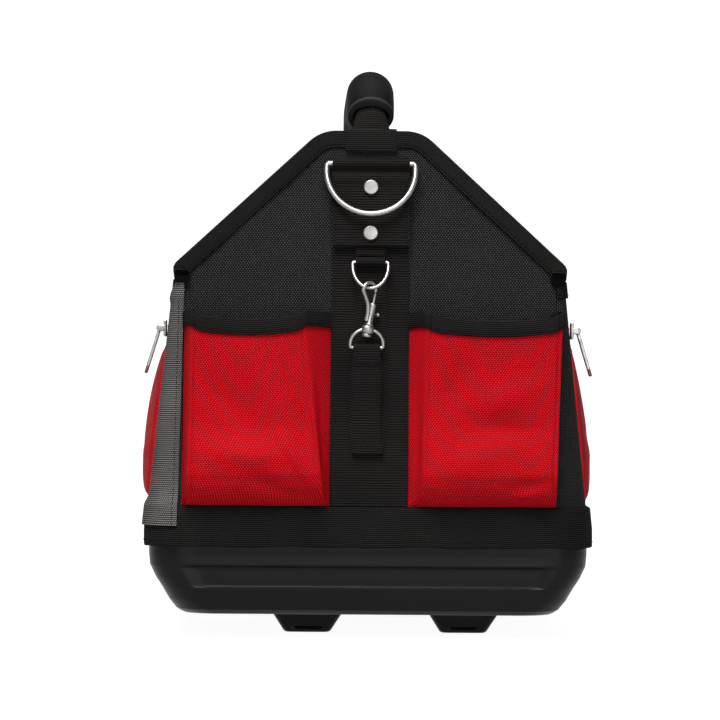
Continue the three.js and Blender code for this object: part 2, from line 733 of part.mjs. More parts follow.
const PANEL_CORNERS = [
  flat(-PANEL_HALF_WIDTH, GAP),
  flat(PANEL_HALF_WIDTH, GAP),
  flat(PANEL_HALF_WIDTH, SHOULDER_HEIGHT),
  flat(PANEL_TOP_HALF_WIDTH, PANEL_HEIGHT),
  flat(-PANEL_TOP_HALF_WIDTH, PANEL_HEIGHT),
  flat(-PANEL_HALF_WIDTH, SHOULDER_HEIGHT),
];
const PANEL_RADII = [
  0,
  0,
  PANEL_SHOULDER_RADIUS,
  PANEL_TOP_RADIUS,
  PANEL_TOP_RADIUS,
  PANEL_SHOULDER_RADIUS,
];

// The panel's outline moved inwards, or outwards by a negative distance.
const panelOutline = (inset) =>
  roundedOutline(insetCorners(PANEL_CORNERS, inset), PANEL_RADII, 4);

// Cylinders along the face's outward axis where the two rivets go.
function rivetHoles() {
  const reach = 40;
  return Object.values(RIVET_DROPS).map((drop) =>
    new THREE.CylinderGeometry(RIVET_SHANK + GAP, RIVET_SHANK + GAP, 2 * reach, 12)
      .rotateX(Math.PI / 2)
      .translate(0, D_BAR_HEIGHT - drop, 0),
  );
}

const panelGeometry = () => cut(slab(panelOutline(0), -WALL, 0), ...rivetHoles());

// Channel of binding over the panel's sloping edges and top.
function panelBindingGeometry() {
  const outside = panelOutline(-BINDING_RIM);
  const inside = panelOutline(BINDING_WIDTH - BINDING_RIM);
  const channel = slab(outside, -WALL - BINDING_OUT, BINDING_OUT);
  const window = slab(inside, -WALL - OVERCUT, OVERCUT);
  const groove = slab(panelOutline(-GAP), -WALL - GAP, GAP);
  const below = block(
    point(-BODY_HALF_WIDTH, -OVERCUT, -WALL - OVERCUT),
    point(BODY_HALF_WIDTH, PANEL_BINDING_FOOT, OVERCUT),
  );
  return cut(channel, window, groove, below);
}

// Tab over the binding at the top of the panel, in front of the handle's leg.
function topTabGeometry() {
  const front = BINDING_OUT + GAP;
  const top = PANEL_HEIGHT + BINDING_RIM + GAP;
  const profile = [
    flat(front, PANEL_HEIGHT - TAB_DROP),
    flat(front + TAB_THICKNESS, PANEL_HEIGHT - TAB_DROP),
    flat(front + TAB_THICKNESS, top + TAB_THICKNESS),
    flat(-WALL, top + TAB_THICKNESS),
    flat(-WALL, top),
    flat(front, top),
  ];
  return profileAcross(profile, TAB_WIDTH);
}

// Extrudes an outline of (out, height) points across the face.
function profileAcross(outline, width) {
  return slab(outline, -width / 2, width / 2).rotateY(-Math.PI / 2);
}

// Patch of webbing that folds over the D-ring's bar, riveted through both plies.
function patchGeometry(frontOut) {
  const backOut = GAP + WEBBING / 2;
  const loop = D_WIRE + GAP + WEBBING / 2;
  const bar = { x: 0, out: D_BAR_OUT, h: D_BAR_HEIGHT };
  const front = frontOut + WEBBING / 2;
  const path = [
    { x: 0, out: backOut, h: FACE_BOTTOM + centerWebbingHeight() + GAP },
    ...arcPoints(bar, loop, 180, 0, 8),
    { x: 0, out: mix([front, bar.out + loop], 0.4), h: D_BAR_HEIGHT - 5 },
    { x: 0, out: front, h: D_BAR_HEIGHT - 9 },
    { x: 0, out: front, h: PATCH_FOOT },
  ];
  return cut(ribbonSolid(path, CENTER_WEBBING_WIDTH, WEBBING), ...rivetHoles());
}

const centerWebbingHeight = () => PATCH_FOOT + WEBBING_LAP - FACE_BOTTOM;

const centerWebbingGeometry = () =>
  block(
    point(-CENTER_WEBBING_WIDTH / 2, FACE_BOTTOM, GAP),
    point(CENTER_WEBBING_WIDTH / 2, FACE_BOTTOM + centerWebbingHeight(), GAP + WEBBING),
  );

// Tilt that carries the D-ring's bow clear of the patch where it first crosses the patch's edge.
function dRingTilt() {
  const clear = FRONT_PLY_OUT.front + WEBBING + GAP + D_WIRE + GAP;
  const share = Math.min(CENTER_WEBBING_WIDTH / 2 / D_HALF_WIDTH, 0.95);
  const crossing = D_CORNER + (D_DROP - D_CORNER) * Math.sqrt(1 - share * share);
  return Math.asin((clear - D_BAR_OUT) / crossing);
}

// Rivet from inside the handle's leg to the outside of the patch.
function rivetGeometry(frontOut) {
  const inside = LEG_OUT - LEG_HALF_THICKNESS - GAP;
  const outside = frontOut + WEBBING + GAP;
  const profile = [
    flat(0, inside - RIVET_HEAD_HEIGHT),
    flat(RIVET_HEAD * 0.8, inside - RIVET_HEAD_HEIGHT),
    flat(RIVET_HEAD, inside),
    flat(RIVET_SHANK, inside),
    flat(RIVET_SHANK, outside),
    flat(RIVET_HEAD, outside),
    flat(RIVET_HEAD, outside + RIVET_HEAD_HEIGHT * 0.45),
    flat(RIVET_HEAD * 0.72, outside + RIVET_HEAD_HEIGHT),
    flat(0, outside + RIVET_HEAD_HEIGHT),
  ];
  return shared(new THREE.LatheGeometry(profile, 12).rotateX(Math.PI / 2));
}

// Outline of an end pocket's cross-section at a share of its height, from the webbing outwards:
// pairs of distance from the tote's middle and distance off the panel.
function pocketSection(pocket, share) {
  const depth = GAP + Math.max(POCKET_DEPTH * lookUp(POCKET_DEPTHS, "height", share, "depth"), POCKET_SHEET);
  const seamOut = WEB_EDGE + POCKET_SPAN * mix(pocket.seam, share);
  const outer = WEB_EDGE + POCKET_SPAN * mix(pocket.outer, share);
  const inner = WEB_EDGE + POCKET_SPAN * mix(pocket.inner, share);
  const crown = POCKET_CROWN * Math.min(1, (4 * depth) / POCKET_DEPTH - 1);
  const face = Array.from({ length: POCKET_FACE_COLUMNS + 1 }, (_, i) => {
    const across = i / POCKET_FACE_COLUMNS;
    return flat(mix([inner, outer], across), depth + Math.max(crown, 0) * Math.sin(Math.PI * across));
  });
  return [flat(WEB_EDGE, GAP), ...face, flat(seamOut, GAP)];
}

// An open outline moved to its left by a distance, with mitred corners.
function offsetPath(path, distance) {
  const last = path.length - 1;
  const normalOf = (from, to) => {
    const along = to.clone().sub(from).normalize();
    return flat(-along.y, along.x);
  };
  return path.map((p, i) => {
    const first = normalOf(path[Math.max(i - 1, 0)], path[Math.max(i, 1)]);
    const second = normalOf(path[Math.min(i, last - 1)], path[Math.min(i + 1, last)]);
    const sum = first.clone().add(second).divideScalar(1 + first.dot(second));
    return p.clone().addScaledVector(sum, distance);
  });
}

// Grid of points off an end pocket's outer face. Each row is a function of the mouth's height.
function pocketGrid(pocket, rows, offset, least) {
  const columns = POCKET_FACE_COLUMNS + 3;
  return Array.from({ length: columns }, (_, column) => {
    const across = column / (columns - 1);
    const mouth = FACE_BOTTOM + POCKET_HEIGHT - POCKET_SAG * Math.sin(Math.PI * across);
    return rows.map((row) => {
      const height = row(mouth);
      const share = THREE.MathUtils.clamp((height - FACE_BOTTOM) / (mouth - FACE_BOTTOM), 0, 1);
      const place = offsetPath(pocketSection(pocket, share), offset)[column];
      return point(pocket.hand * place.x, height, Math.max(place.y, least));
    });
  });
}

function pocketGeometry(pocket) {
  const rows = [0, 0.05, 0.16, 0.42, 0.75, 1].map(
    (share) => (mouth) => mix([FACE_BOTTOM, mouth], share),
  );
  return sheetSolid(
    pocketGrid(pocket, rows, 0, GAP),
    pocketGrid(pocket, rows, -POCKET_SHEET, GAP),
  );
}

// Channel of binding over the mouth of an end pocket, clear of the webbing beside it.
function pocketBindingGeometry(pocket) {
  const clearOfWebbing = GAP + WEBBING + GAP;
  const cover = [-POCKET_BINDING_HEIGHT, 0, POCKET_PLY].map((rise) => (mouth) => mouth + rise);
  const slot = [-POCKET_BINDING_HEIGHT - OVERCUT, 0, GAP].map((rise) => (mouth) => mouth + rise);
  const channel = sheetSolid(
    pocketGrid(pocket, cover, POCKET_PLY + GAP, clearOfWebbing),
    pocketGrid(pocket, cover, -POCKET_SHEET - POCKET_PLY - GAP, clearOfWebbing),
  );
  const groove = sheetSolid(
    pocketGrid(pocket, slot, GAP, 0),
    pocketGrid(pocket, slot, -POCKET_SHEET - GAP, 0),
  );
  return cut(channel, groove);
}

// Swelling sheet of a side pocket, sewn down round its border.
function sidePocketGeometry(side) {
  const along = [-1, -0.94, -0.8, -0.4, 0, 0.4, 0.8, 0.94, 1];
  const up = [0, 0.08, 0.3, 0.6, 0.9, 1];
  const grid = (offset) =>
    along.map((run) =>
      up.map((rise) => {
        const puff = Math.sqrt(Math.sin(Math.PI * rise) * Math.cos((Math.PI / 2) * run) + 1e-9);
        const z = mix([BAND_TOP_Z + GAP, SIDE_POCKET_TOP_Z], rise);
        return sidePoint(run * SIDE_POCKET_HALF_LENGTH, z, offset + SIDE_POCKET_BULGE * puff, side);
      }),
    );
  return sheetSolid(grid(GAP + SIDE_POCKET_SHEET), grid(GAP));
}

const zipBottom = () => SIDE_POCKET_TOP_Z + GAP;
const zipMiddle = () => zipBottom() + ZIP_HEIGHT / 2;

// Zip tape with a raised bar of teeth along its middle.
function zipGeometry(side) {
  const along = [-1, -0.6, -0.2, 0.2, 0.6, 1];
  const teeth = ZIP_TEETH_WIDTH / 2;
  const rows = [
    { z: zipBottom(), rise: 0 },
    { z: zipMiddle() - teeth, rise: 0 },
    { z: zipMiddle() - teeth + 0.2, rise: 1 },
    { z: zipMiddle() + teeth - 0.2, rise: 1 },
    { z: zipMiddle() + teeth, rise: 0 },
    { z: zipBottom() + ZIP_HEIGHT, rise: 0 },
  ];
  const grid = (offset, tall) =>
    along.map((run) =>
      rows.map(({ z, rise }) =>
        sidePoint(run * SIDE_POCKET_HALF_LENGTH, z, offset + rise * tall, side),
      ),
    );
  return sheetSolid(grid(GAP + ZIP_TAPE, ZIP_TEETH_RISE), grid(GAP, 0));
}

// Group on a side wall at the slider: x runs out of the wall, y along the tote and z up.
function sliderGroup(side) {
  const group = new THREE.Group();
  const y = -(SIDE_POCKET_HALF_LENGTH - SLIDER_FROM_END - SLIDER_LENGTH / 2);
  const base = sidePoint(y, zipMiddle(), GAP + ZIP_TAPE + ZIP_TEETH_RISE + GAP, side);
  group.position.copy(base);
  if (side < 0) group.rotation.z = Math.PI;
  tote.add(group);
  return group;
}

const PULL_BAR_OUT = SLIDER_THICKNESS + EAR_RISE - PULL_BAR;

// Slider body with two ears and the bar that the pull hangs on.
function sliderGeometry() {
  const [halfLength, halfWidth] = [SLIDER_LENGTH / 2, SLIDER_WIDTH / 2];
  const body = block(point(0, -halfLength, -halfWidth), point(SLIDER_THICKNESS, halfLength, halfWidth));
  const earFrom = halfLength - 1.2;
  const ears = [-1, 1].map((hand) => {
    const [near, far] = hand > 0 ? [earFrom, halfLength] : [-halfLength, -earFrom];
    return block(
      point(SLIDER_THICKNESS / 2, near, -2),
      point(SLIDER_THICKNESS + EAR_RISE, far, 2),
    );
  });
  const bar = new THREE.CylinderGeometry(PULL_BAR, PULL_BAR, SLIDER_LENGTH - 1, 10);
  bar.translate(PULL_BAR_OUT, 0, 0);
  return join(body, ...ears, bar);
}

// Pull tab with an eye round the bar and a window, hanging a little away from the wall.
function pullGeometry() {
  const width = PULL_WIDTH / 2;
  const neck = SLIDER_LENGTH / 2 - 1.2 - GAP;
  const eye = PULL_BAR + GAP;
  const head = 2 * eye;
  const outline = [
    flat(-neck, 0),
    flat(-neck, -EAR_RISE - 2),
    flat(-width * 0.9, -EAR_RISE - 6),
    flat(-width * 0.8, -PULL_LENGTH + 3),
    flat(-width * 0.5, -PULL_LENGTH),
    flat(width * 0.5, -PULL_LENGTH),
    flat(width * 0.8, -PULL_LENGTH + 3),
    flat(width * 0.9, -EAR_RISE - 6),
    flat(neck, -EAR_RISE - 2),
    flat(neck, 0),
  ];
  const plate = slab(outline, -PULL_THICKNESS / 2, PULL_THICKNESS / 2).rotateX(Math.PI / 2);
  plate.rotateZ(Math.PI / 2);
  const knuckle = new THREE.CylinderGeometry(head, head, 2 * neck, 12);
  const bore = new THREE.CylinderGeometry(eye, eye, 2 * SLIDER_LENGTH, 12);
  const window = block(
    point(-OVERCUT, -width * 0.45, -PULL_LENGTH + 5),
    point(OVERCUT, width * 0.45, -PULL_LENGTH + 16),
  );
  return cut(join(plate, knuckle), bore, window);
}

// Loop of tape that holds the small ring under the patch.
function smallLoopGeometry() {
  const bar = flat(SMALL_BAR_OUT, SMALL_BAR_HEIGHT);
  const radius = SMALL_WIRE + GAP + SMALL_LOOP_PLY;
  const top = COVERED_TOP;
  const stub = [LOOP_STUB_OUT, LOOP_STUB_OUT + SMALL_LOOP_PLY];
  const outline = [flat(stub[0], top), flat(stub[0], bar.y + radius * 1.3)];
  for (let i = 0; i <= 12; i++) {
    const angle = THREE.MathUtils.degToRad(mix([180, 405], i / 12));
    outline.push(flat(bar.x + radius * Math.cos(angle), bar.y + radius * Math.sin(angle)));
  }
  outline.push(flat(stub[1], bar.y + radius * 1.8), flat(stub[1], top));
  const eye = SMALL_WIRE + GAP;
  const bore = new THREE.CylinderGeometry(eye, eye, 2 * SMALL_LOOP_WIDTH, 12)
    .rotateZ(Math.PI / 2)
    .translate(0, bar.y, bar.x);
  return cut(profileAcross(outline, SMALL_LOOP_WIDTH), bore);
}

// Where the small ring's bow is lowest, in the face's frame.
function smallRingFoot() {
  const tilt = SMALL_TILT;
  return point(
    0,
    SMALL_BAR_HEIGHT - SMALL_DROP * Math.cos(tilt),
    SMALL_BAR_OUT + SMALL_DROP * Math.sin(tilt),
  );
}

// Frame of the snap: it hangs plumb from the small ring, tilted and turned about its own length.
function snapGroups(face) {
  const plumb = new THREE.Group();
  plumb.rotation.x = END_LEAN;
  const tilted = new THREE.Group();
  tilted.rotation.z = SNAP_TILT;
  const twisted = new THREE.Group();
  twisted.rotation.y = SNAP_TWIST;
  tilted.add(twisted);
  plumb.add(tilted);
  face.add(plumb);
  plumb.position.set(0, 0, 0);
  face.updateMatrixWorld(true);
  const held = point(-SNAP_THROAT * 0.46, SNAP_LENGTH - SNAP_HOLD, 0);
  const inTurned = held.applyMatrix4(twisted.matrix).applyMatrix4(tilted.matrix);
  const reached = inTurned.applyMatrix4(plumb.matrix);
  plumb.position.copy(smallRingFoot().sub(reached));
  plumb.updateMatrixWorld(true);
  return { plumb, tilted, twisted };
}

// Body of the snap: barrel, bent hook, swivel stem and its button.
function snapHookGeometry() {
  const turned = (radius, from, to) =>
    new THREE.CylinderGeometry(radius, radius, to - from, 12).translate(0, (from + to) / 2, 0);
  const stemEnd = -COLLAR_HEIGHT - 2 * GAP;
  const bend = [
    flat(-0.26 * SNAP_THROAT, 0.08 * SNAP_LENGTH),
    flat(-0.28 * SNAP_THROAT, 0.31 * SNAP_LENGTH),
    flat(-0.42 * SNAP_THROAT, 0.5 * SNAP_LENGTH),
    flat(-0.74 * SNAP_THROAT, 0.67 * SNAP_LENGTH),
    flat(-SNAP_THROAT, 0.81 * SNAP_LENGTH),
    flat(-0.89 * SNAP_THROAT, 0.945 * SNAP_LENGTH),
    flat(-0.6 * SNAP_THROAT, SNAP_LENGTH),
    flat(-0.28 * SNAP_THROAT, 0.985 * SNAP_LENGTH),
    flat(-0.05 * SNAP_THROAT, 0.905 * SNAP_LENGTH),
    flat(0, 0.8 * SNAP_LENGTH),
  ];
  const path = new THREE.SplineCurve(bend).getPoints(18);
  const wire = loftSolid(wireRings(path, SNAP_WIRE, 6, false));
  const body = join(
    turned(BARREL_RADIUS, 0, BARREL_HEIGHT),
    turned(BARREL_RADIUS + 0.6, 0, 1.1),
    wire,
    turned(1.6, stemEnd - 0.5, 0.5),
    turned(COLLAR_RADIUS - 0.8, stemEnd - 2.3, stemEnd),
  );
  const slot = block(point(0, 2.6, -0.85), point(OVERCUT, knobHeight() + 1, 0.85));
  return cut(body, turned(BARREL_BORE, 1.7, BARREL_HEIGHT + OVERCUT - 4), slot);
}

const knobHeight = () => BARREL_HEIGHT * 0.54;

// Spring plunger that closes the hook, with the knob that draws it back.
function plungerGeometry() {
  const top = 0.8 * SNAP_LENGTH - GAP;
  const bottom = 1.7 + PLUNGER_TRAVEL + GAP;
  const rod = new THREE.CylinderGeometry(0.85, BARREL_BORE - GAP, top - bottom, 12);
  rod.translate(0, (top + bottom) / 2, 0);
  const stem = new THREE.CylinderGeometry(0.5, 0.5, KNOB_REACH, 8).rotateZ(Math.PI / 2);
  stem.translate(KNOB_REACH / 2, knobHeight(), 0);
  const knob = new THREE.SphereGeometry(1.35, 8, 6).translate(KNOB_REACH, knobHeight(), 0);
  return join(rod, stem, knob);
}

// Swivel collar, in the snap's tilted frame, joined to the D-shaped wire, whose bar stays level.
function snapEyeGeometry() {
  const collar = new THREE.CylinderGeometry(COLLAR_RADIUS, COLLAR_RADIUS, COLLAR_HEIGHT, 12);
  collar.translate(0, -GAP - COLLAR_HEIGHT / 2, 0).rotateZ(SNAP_TILT);
  const bore = new THREE.CylinderGeometry(1.9, 1.9, 4 * COLLAR_HEIGHT, 12);
  bore.rotateZ(SNAP_TILT);
  const drop = EYE_BAR_DROP - COLLAR_HEIGHT / 2;
  const path = bowPath(EYE_HALF_WIDTH, drop, EYE_CORNER, 12);
  const wire = loftSolid(wireRings(path, EYE_WIRE, 6, true), true);
  wire.rotateZ(Math.PI).translate(EYE_SHIFT, -EYE_BAR_DROP, 0);
  return cut(join(collar, wire), bore);
}

// One tape: down behind from under the patch, folded, up in front and round the snap's eye.
function tapeStrapGeometry(plumb, face) {
  const bar = point(EYE_SHIFT, -EYE_BAR_DROP, 0).applyMatrix4(plumb.matrixWorld);
  face.worldToLocal(bar);
  const backOut = TAPE_OUT + TAPE / 2;
  const foldHeight = FACE_BOTTOM + STRAP_FOLD_RISE;
  const plumbRun = (bar.y - foldHeight) * Math.tan(END_LEAN);
  const frontOut = bar.z - plumbRun;
  const fold = { x: (STRAP_FRONT_X + STRAP_BACK_X) / 2, h: foldHeight };
  const foldRadius = Math.max((frontOut - backOut) / 2, TAPE);
  fold.out = backOut + foldRadius;
  const loop = EYE_WIRE + GAP + TAPE / 2;
  const share = (2 * (EYE_HALF_WIDTH - EYE_CORNER) - GAP) / TAPE_WIDTH;
  const eye = { x: bar.x, out: bar.z, h: bar.y, share };
  const plies = (TAPE + GAP) / 2;
  const path = [
    { x: STRAP_BACK_X, out: backOut, h: COVERED_TOP },
    { x: STRAP_BACK_X, out: backOut, h: foldHeight + 12 },
    ...arcPoints(fold, foldRadius, 180, 360, 6),
    { x: STRAP_FRONT_X, out: fold.out + foldRadius + 0.8, h: foldHeight + 12 },
    { x: eye.x, out: eye.out + plies, h: eye.h - 7 },
    ...arcPoints(eye, loop, -10, 190, 8),
    { x: eye.x, out: eye.out - plies, h: eye.h - 7 },
    { x: eye.x, out: eye.out - plies - 0.5, h: eye.h - 13 },
  ];
  return ribbonSolid(path, TAPE_WIDTH, TAPE);
}

// Section of the handle at a place on its line: half its width and half its thickness.
function handleSections() {
  const matrix = new THREE.Matrix4().makeRotationX(Math.PI / 2 - END_LEAN);
  matrix.setPosition(0, -BODY_HALF_LENGTH, WALL_FOOT_Z);
  const onFace = (h) => point(0, h, LEG_OUT).applyMatrix4(matrix);
  const up = point(0, Math.sin(END_LEAN), Math.cos(END_LEAN));
  const inward = point(0, Math.cos(END_LEAN), -Math.sin(END_LEAN));
  const bendStartZ = HANDLE_Z - BEND_RADIUS * (1 - Math.sin(END_LEAN));
  const bendStartHeight = (bendStartZ - onFace(0).z) / Math.cos(END_LEAN);
  const legStart = bendStartHeight - LEG_LENGTH;
  const sections = [0, 1].map((share) => ({
    place: onFace(legStart + LEG_LENGTH * share),
    along: up,
    round: 0,
    step: 0,
  }));
  const centre = onFace(bendStartHeight).addScaledVector(inward, BEND_RADIUS);
  const sweep = Math.PI / 2 - END_LEAN;
  for (let step = 1; step <= BEND_STEPS; step++) {
    const angle = (sweep * step) / BEND_STEPS;
    sections.push({
      place: centre
        .clone()
        .addScaledVector(inward, -BEND_RADIUS * Math.cos(angle))
        .addScaledVector(up, BEND_RADIUS * Math.sin(angle)),
      along: up
        .clone()
        .multiplyScalar(Math.cos(angle))
        .addScaledVector(inward, Math.sin(angle)),
      round: Math.min(1, step / GRIP_FROM_STEP) ** 2,
      step,
    });
  }
  const mirrored = sections.toReversed().map(({ place, along, round, step }) => ({
    place: point(0, -place.y, place.z),
    along: point(0, along.y, -along.z),
    round,
    step,
  }));
  return [...sections, ...mirrored];
}

// Ring of points round the handle's line, square to it.
function handleRing(section, halfWidth, halfThickness, sides) {
  const across = point(0, -section.along.z, section.along.y);
  return Array.from({ length: sides }, (_, k) => {
    const angle = (2 * Math.PI * k) / sides;
    return section.place
      .clone()
      .add(point(halfWidth * Math.cos(angle), 0, 0))
      .addScaledVector(across, halfThickness * Math.sin(angle));
  });
}

const tubeHalfWidth = (round) => mix([LEG_HALF_WIDTH, BAR_HALF_WIDTH], round);
const tubeHalfThickness = (round) => mix([LEG_HALF_THICKNESS, BAR_HALF_HEIGHT], round);

function handleTubeGeometry(faces) {
  const rings = handleSections().map((section) =>
    handleRing(section, tubeHalfWidth(section.round), tubeHalfThickness(section.round), 12),
  );
  const holes = faces.flatMap((face) =>
    rivetHoles().map((hole) => hole.applyMatrix4(face.matrixWorld)),
  );
  return cut(loftSolid(rings), ...holes);
}

// Soft sleeve round the bar and part of each bend.
function gripGeometry() {
  const gripped = handleSections().filter((section) => section.step >= GRIP_FROM_STEP);
  const outer = gripped.map((section) => handleRing(section, GRIP_RADIUS, GRIP_RADIUS, 16));
  const inner = gripped.map((section) =>
    handleRing(section, BAR_HALF_WIDTH + 2 * GAP, BAR_HALF_HEIGHT + 2 * GAP, 16),
  );
  return loftSolid([...outer, ...inner.reverse()], true);
}

function buildTray() {
  place(tote, "base_tray", trayGeometry(), MOULDED);
  place(tote, "base_latch", latchGeometry(), RED_PLASTIC);
  const rows = { front: -FOOT_ROW_SPACING, middle: 0, back: FOOT_ROW_SPACING };
  const undersideHalfWidth = BODY_HALF_WIDTH - TRAY_CLEARANCE - TRAY_SIDE_TAPER;
  const columns = {
    left: FOOT_INSETS.left - undersideHalfWidth,
    right: undersideHalfWidth - FOOT_INSETS.right,
  };
  for (const [row, y] of Object.entries(rows)) {
    for (const [column, x] of Object.entries(columns)) {
      place(tote, `foot_${row}_${column}`, footGeometry(), MOULDED).position.set(x, y, 0);
    }
  }
}

function buildSides() {
  place(tote, "bottom_band", bandGeometry(), TRIM);
  const heights = [WALL_FOOT_Z, BAND_TOP_Z, 0.25, 0.5, 0.75, 1].map((level) =>
    level <= 1 ? mix([BAND_TOP_Z, WALL_TOP_Z], level) : level,
  );
  for (const [name, side] of Object.entries({ left: -1, right: 1 })) {
    const wall = sheetSolid(
      wallGrid(WALL_STATIONS, heights, 0, side),
      wallGrid(WALL_STATIONS, heights, -WALL, side),
    );
    place(tote, `${name}_wall`, wall, CLOTH);
    place(tote, `${name}_edge_binding`, sideBindingGeometry(side), TRIM);
    place(tote, `${name}_side_pocket`, sidePocketGeometry(side), RED_CLOTH);
    place(tote, `${name}_zip`, zipGeometry(side), TRIM);
    const group = sliderGroup(side);
    place(group, `${name}_zip_slider`, sliderGeometry(), STEEL);
    const pull = place(group, `${name}_zip_pull`, pullGeometry(), STEEL);
    pull.position.set(PULL_BAR_OUT, 0, 0);
    pull.rotation.y = -PULL_TILT;
  }
  for (const [name, end] of Object.entries({ front: -1, back: 1 })) {
    place(tote, `${name}_corner_webbing`, cornerWebbingGeometry(-1, end), GREY_WEBBING);
  }
}

function buildEnd(name, turn) {
  const face = faceGroup(turn);
  const frontOut = FRONT_PLY_OUT[name];
  place(face, `${name}_panel`, panelGeometry(), CLOTH);
  place(face, `${name}_edge_binding`, panelBindingGeometry(), TRIM);
  place(face, `${name}_top_tab`, topTabGeometry(), TRIM);
  place(face, `${name}_center_webbing`, centerWebbingGeometry(), TRIM);
  place(face, `${name}_ring_patch`, patchGeometry(frontOut), TRIM);
  const bow = wireRings(bowPath(D_HALF_WIDTH, D_DROP, D_CORNER, 16), D_WIRE, 8, true);
  const ring = place(face, `${name}_d_ring`, loftSolid(bow, true), STEEL);
  ring.position.set(0, D_BAR_HEIGHT, D_BAR_OUT);
  ring.rotation.x = -dRingTilt();
  for (const [level, drop] of Object.entries(RIVET_DROPS)) {
    const rivet = place(face, `${name}_${level}_rivet`, rivetGeometry(frontOut), STEEL);
    rivet.position.y = D_BAR_HEIGHT - drop;
  }
  for (const row of POCKET_SIDES) {
    const pocket = { ...row, hand: row.side * Math.sign(Math.cos(turn)) };
    const label = `${name}_${pocket.name}_pocket`;
    place(face, label, pocketGeometry(pocket), RED_CLOTH);
    place(face, `${label}_binding`, pocketBindingGeometry(pocket), TRIM);
  }
  return face;
}

function buildSnap(face) {
  place(face, "small_ring_loop", smallLoopGeometry(), TRIM);
  const path = bowPath(SMALL_HALF_WIDTH, SMALL_DROP, SMALL_CORNER, 12);
  const smallRing = loftSolid(wireRings(path, SMALL_WIRE, 6, true), true);
  const ring = place(face, "small_ring", smallRing, STEEL);
  ring.position.set(0, SMALL_BAR_HEIGHT, SMALL_BAR_OUT);
  ring.rotation.x = -SMALL_TILT;
  const { plumb, twisted } = snapGroups(face);
  place(twisted, "snap_hook", snapHookGeometry(), STEEL);
  place(twisted, "snap_plunger", plungerGeometry(), STEEL);
  place(plumb, "snap_eye", snapEyeGeometry(), STEEL);
  place(face, "tape_strap", tapeStrapGeometry(plumb, face), TRIM);
}

function buildHandle(faces) {
  place(tote, "handle_tube", handleTubeGeometry(faces), TRIM);
  place(tote, "handle_grip", gripGeometry(), RUBBER);
}

buildTray();
buildSides();
const frontFace = buildEnd("front", 0);
const backFace = buildEnd("back", Math.PI);
buildSnap(frontFace);
buildHandle([frontFace, backFace]);

export default tote;
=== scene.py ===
"""Looks of an open top tool tote: cloth over a moulded tray, pockets, webbing, rings and a handle."""
import math

import bmesh
import bpy
import numpy as np
from mathutils import Matrix, Vector


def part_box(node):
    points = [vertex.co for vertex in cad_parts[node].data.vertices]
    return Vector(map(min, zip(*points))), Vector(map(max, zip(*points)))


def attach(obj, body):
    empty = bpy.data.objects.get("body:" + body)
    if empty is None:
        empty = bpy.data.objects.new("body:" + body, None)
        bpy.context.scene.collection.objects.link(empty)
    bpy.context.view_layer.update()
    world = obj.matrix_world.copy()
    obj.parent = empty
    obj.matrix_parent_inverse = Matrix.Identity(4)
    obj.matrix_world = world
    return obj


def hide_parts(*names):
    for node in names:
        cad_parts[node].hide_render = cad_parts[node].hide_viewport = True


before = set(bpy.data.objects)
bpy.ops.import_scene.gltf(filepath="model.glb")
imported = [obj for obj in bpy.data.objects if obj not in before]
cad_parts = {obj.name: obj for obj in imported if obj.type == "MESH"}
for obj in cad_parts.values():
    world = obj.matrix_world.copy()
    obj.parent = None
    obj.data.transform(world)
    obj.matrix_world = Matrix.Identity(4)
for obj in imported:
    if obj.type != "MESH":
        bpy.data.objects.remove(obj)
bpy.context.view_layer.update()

# Lengths are in millimetres up to add_mesh, which makes them metres.
MM = 0.001
GAP = 0.3
FRONT, BACK = 1, -1
LEFT, RIGHT = -1, 1
ENDS = {"front": FRONT, "back": BACK}
SIDES = {"left": LEFT, "right": RIGHT}


def reach(node, axis):
    """Lowest and highest place of a node along an axis, in millimetres."""
    low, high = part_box(node)
    return low[axis] / MM, high[axis] / MM


# Cloth body, from the frame
WALL_FOOT_Z, WALL_TOP_Z = reach("left_wall", 2)
WALL_HEIGHT = WALL_TOP_Z - WALL_FOOT_Z
BODY_HALF_WIDTH = 142.7
BODY_HALF_LENGTH = 197.7
SIDE_LEAN_IN = 16.7
END_LEAN_IN = 12
END_LEAN = math.atan(END_LEAN_IN / WALL_HEIGHT)
PANEL_HALF_WIDTH = 120.2
WALL = 3
WALL_BULGE = 2
BAND_FOOT_Z, BAND_TOP_Z = reach("bottom_band", 2)
BAND_THICKNESS = 2.5
BAND_SEAM_Z = BAND_FOOT_Z + 3.4
BINDING_WIDTH = 11
BINDING_PLY = 1.2
BINDING_OUT = GAP + BINDING_PLY
BINDING_RIM = 1.3
SIDE_BINDING_TOP_Z = WALL_TOP_Z + BINDING_RIM

# Tray and feet
FOOT_HEIGHT = 15.3
TRAY_FOOT_Z = FOOT_HEIGHT + GAP
TRAY_HEIGHT = 55.2
TRAY_WALL = 3.2
TRAY_FLOOR = 3.5
TRAY_HALF_WIDTH = 142
TRAY_HALF_LENGTH = 197
TRAY_RADIUS = 21.5
TRAY_SIDE_TAPER = 23
TRAY_END_TAPER = 12
TRAY_LEVELS = np.array([
    # height, side, end
    (0, 1, 1),
    (0.015, 0.92, 0.86),
    (0.055, 0.78, 0.58),
    (0.167, 0.57, 0.33),
    (0.315, 0.37, 0.1),
    (0.43, 0.19, 0.06),
    (0.574, 0.03, 0.04),
    (0.7, 0, 0.01),
    (1, 0, 0),
])
RECESS_FROM = 0.325
RECESS_TO = 0.565
RECESS_DEPTH = 2
STRIP_DEPTH = 0.55
RECESS_EASE = 0.012
RUNNER_X = (-109.9, -75.9)
RUNNER_Y = (24.3, 26.8)
RUNNER_LIP_Y = 21.8
RUNNER_DROP = 4.7
RUNNER_PLY = 1.5
LATCH_PLATE = 2.6
LATCH_LIP = 3.5
FOOT_TOP_HALF = (24.5, 20)
FOOT_SOLE_HALF = (15, 13)
FOOT_RADIUS = 4
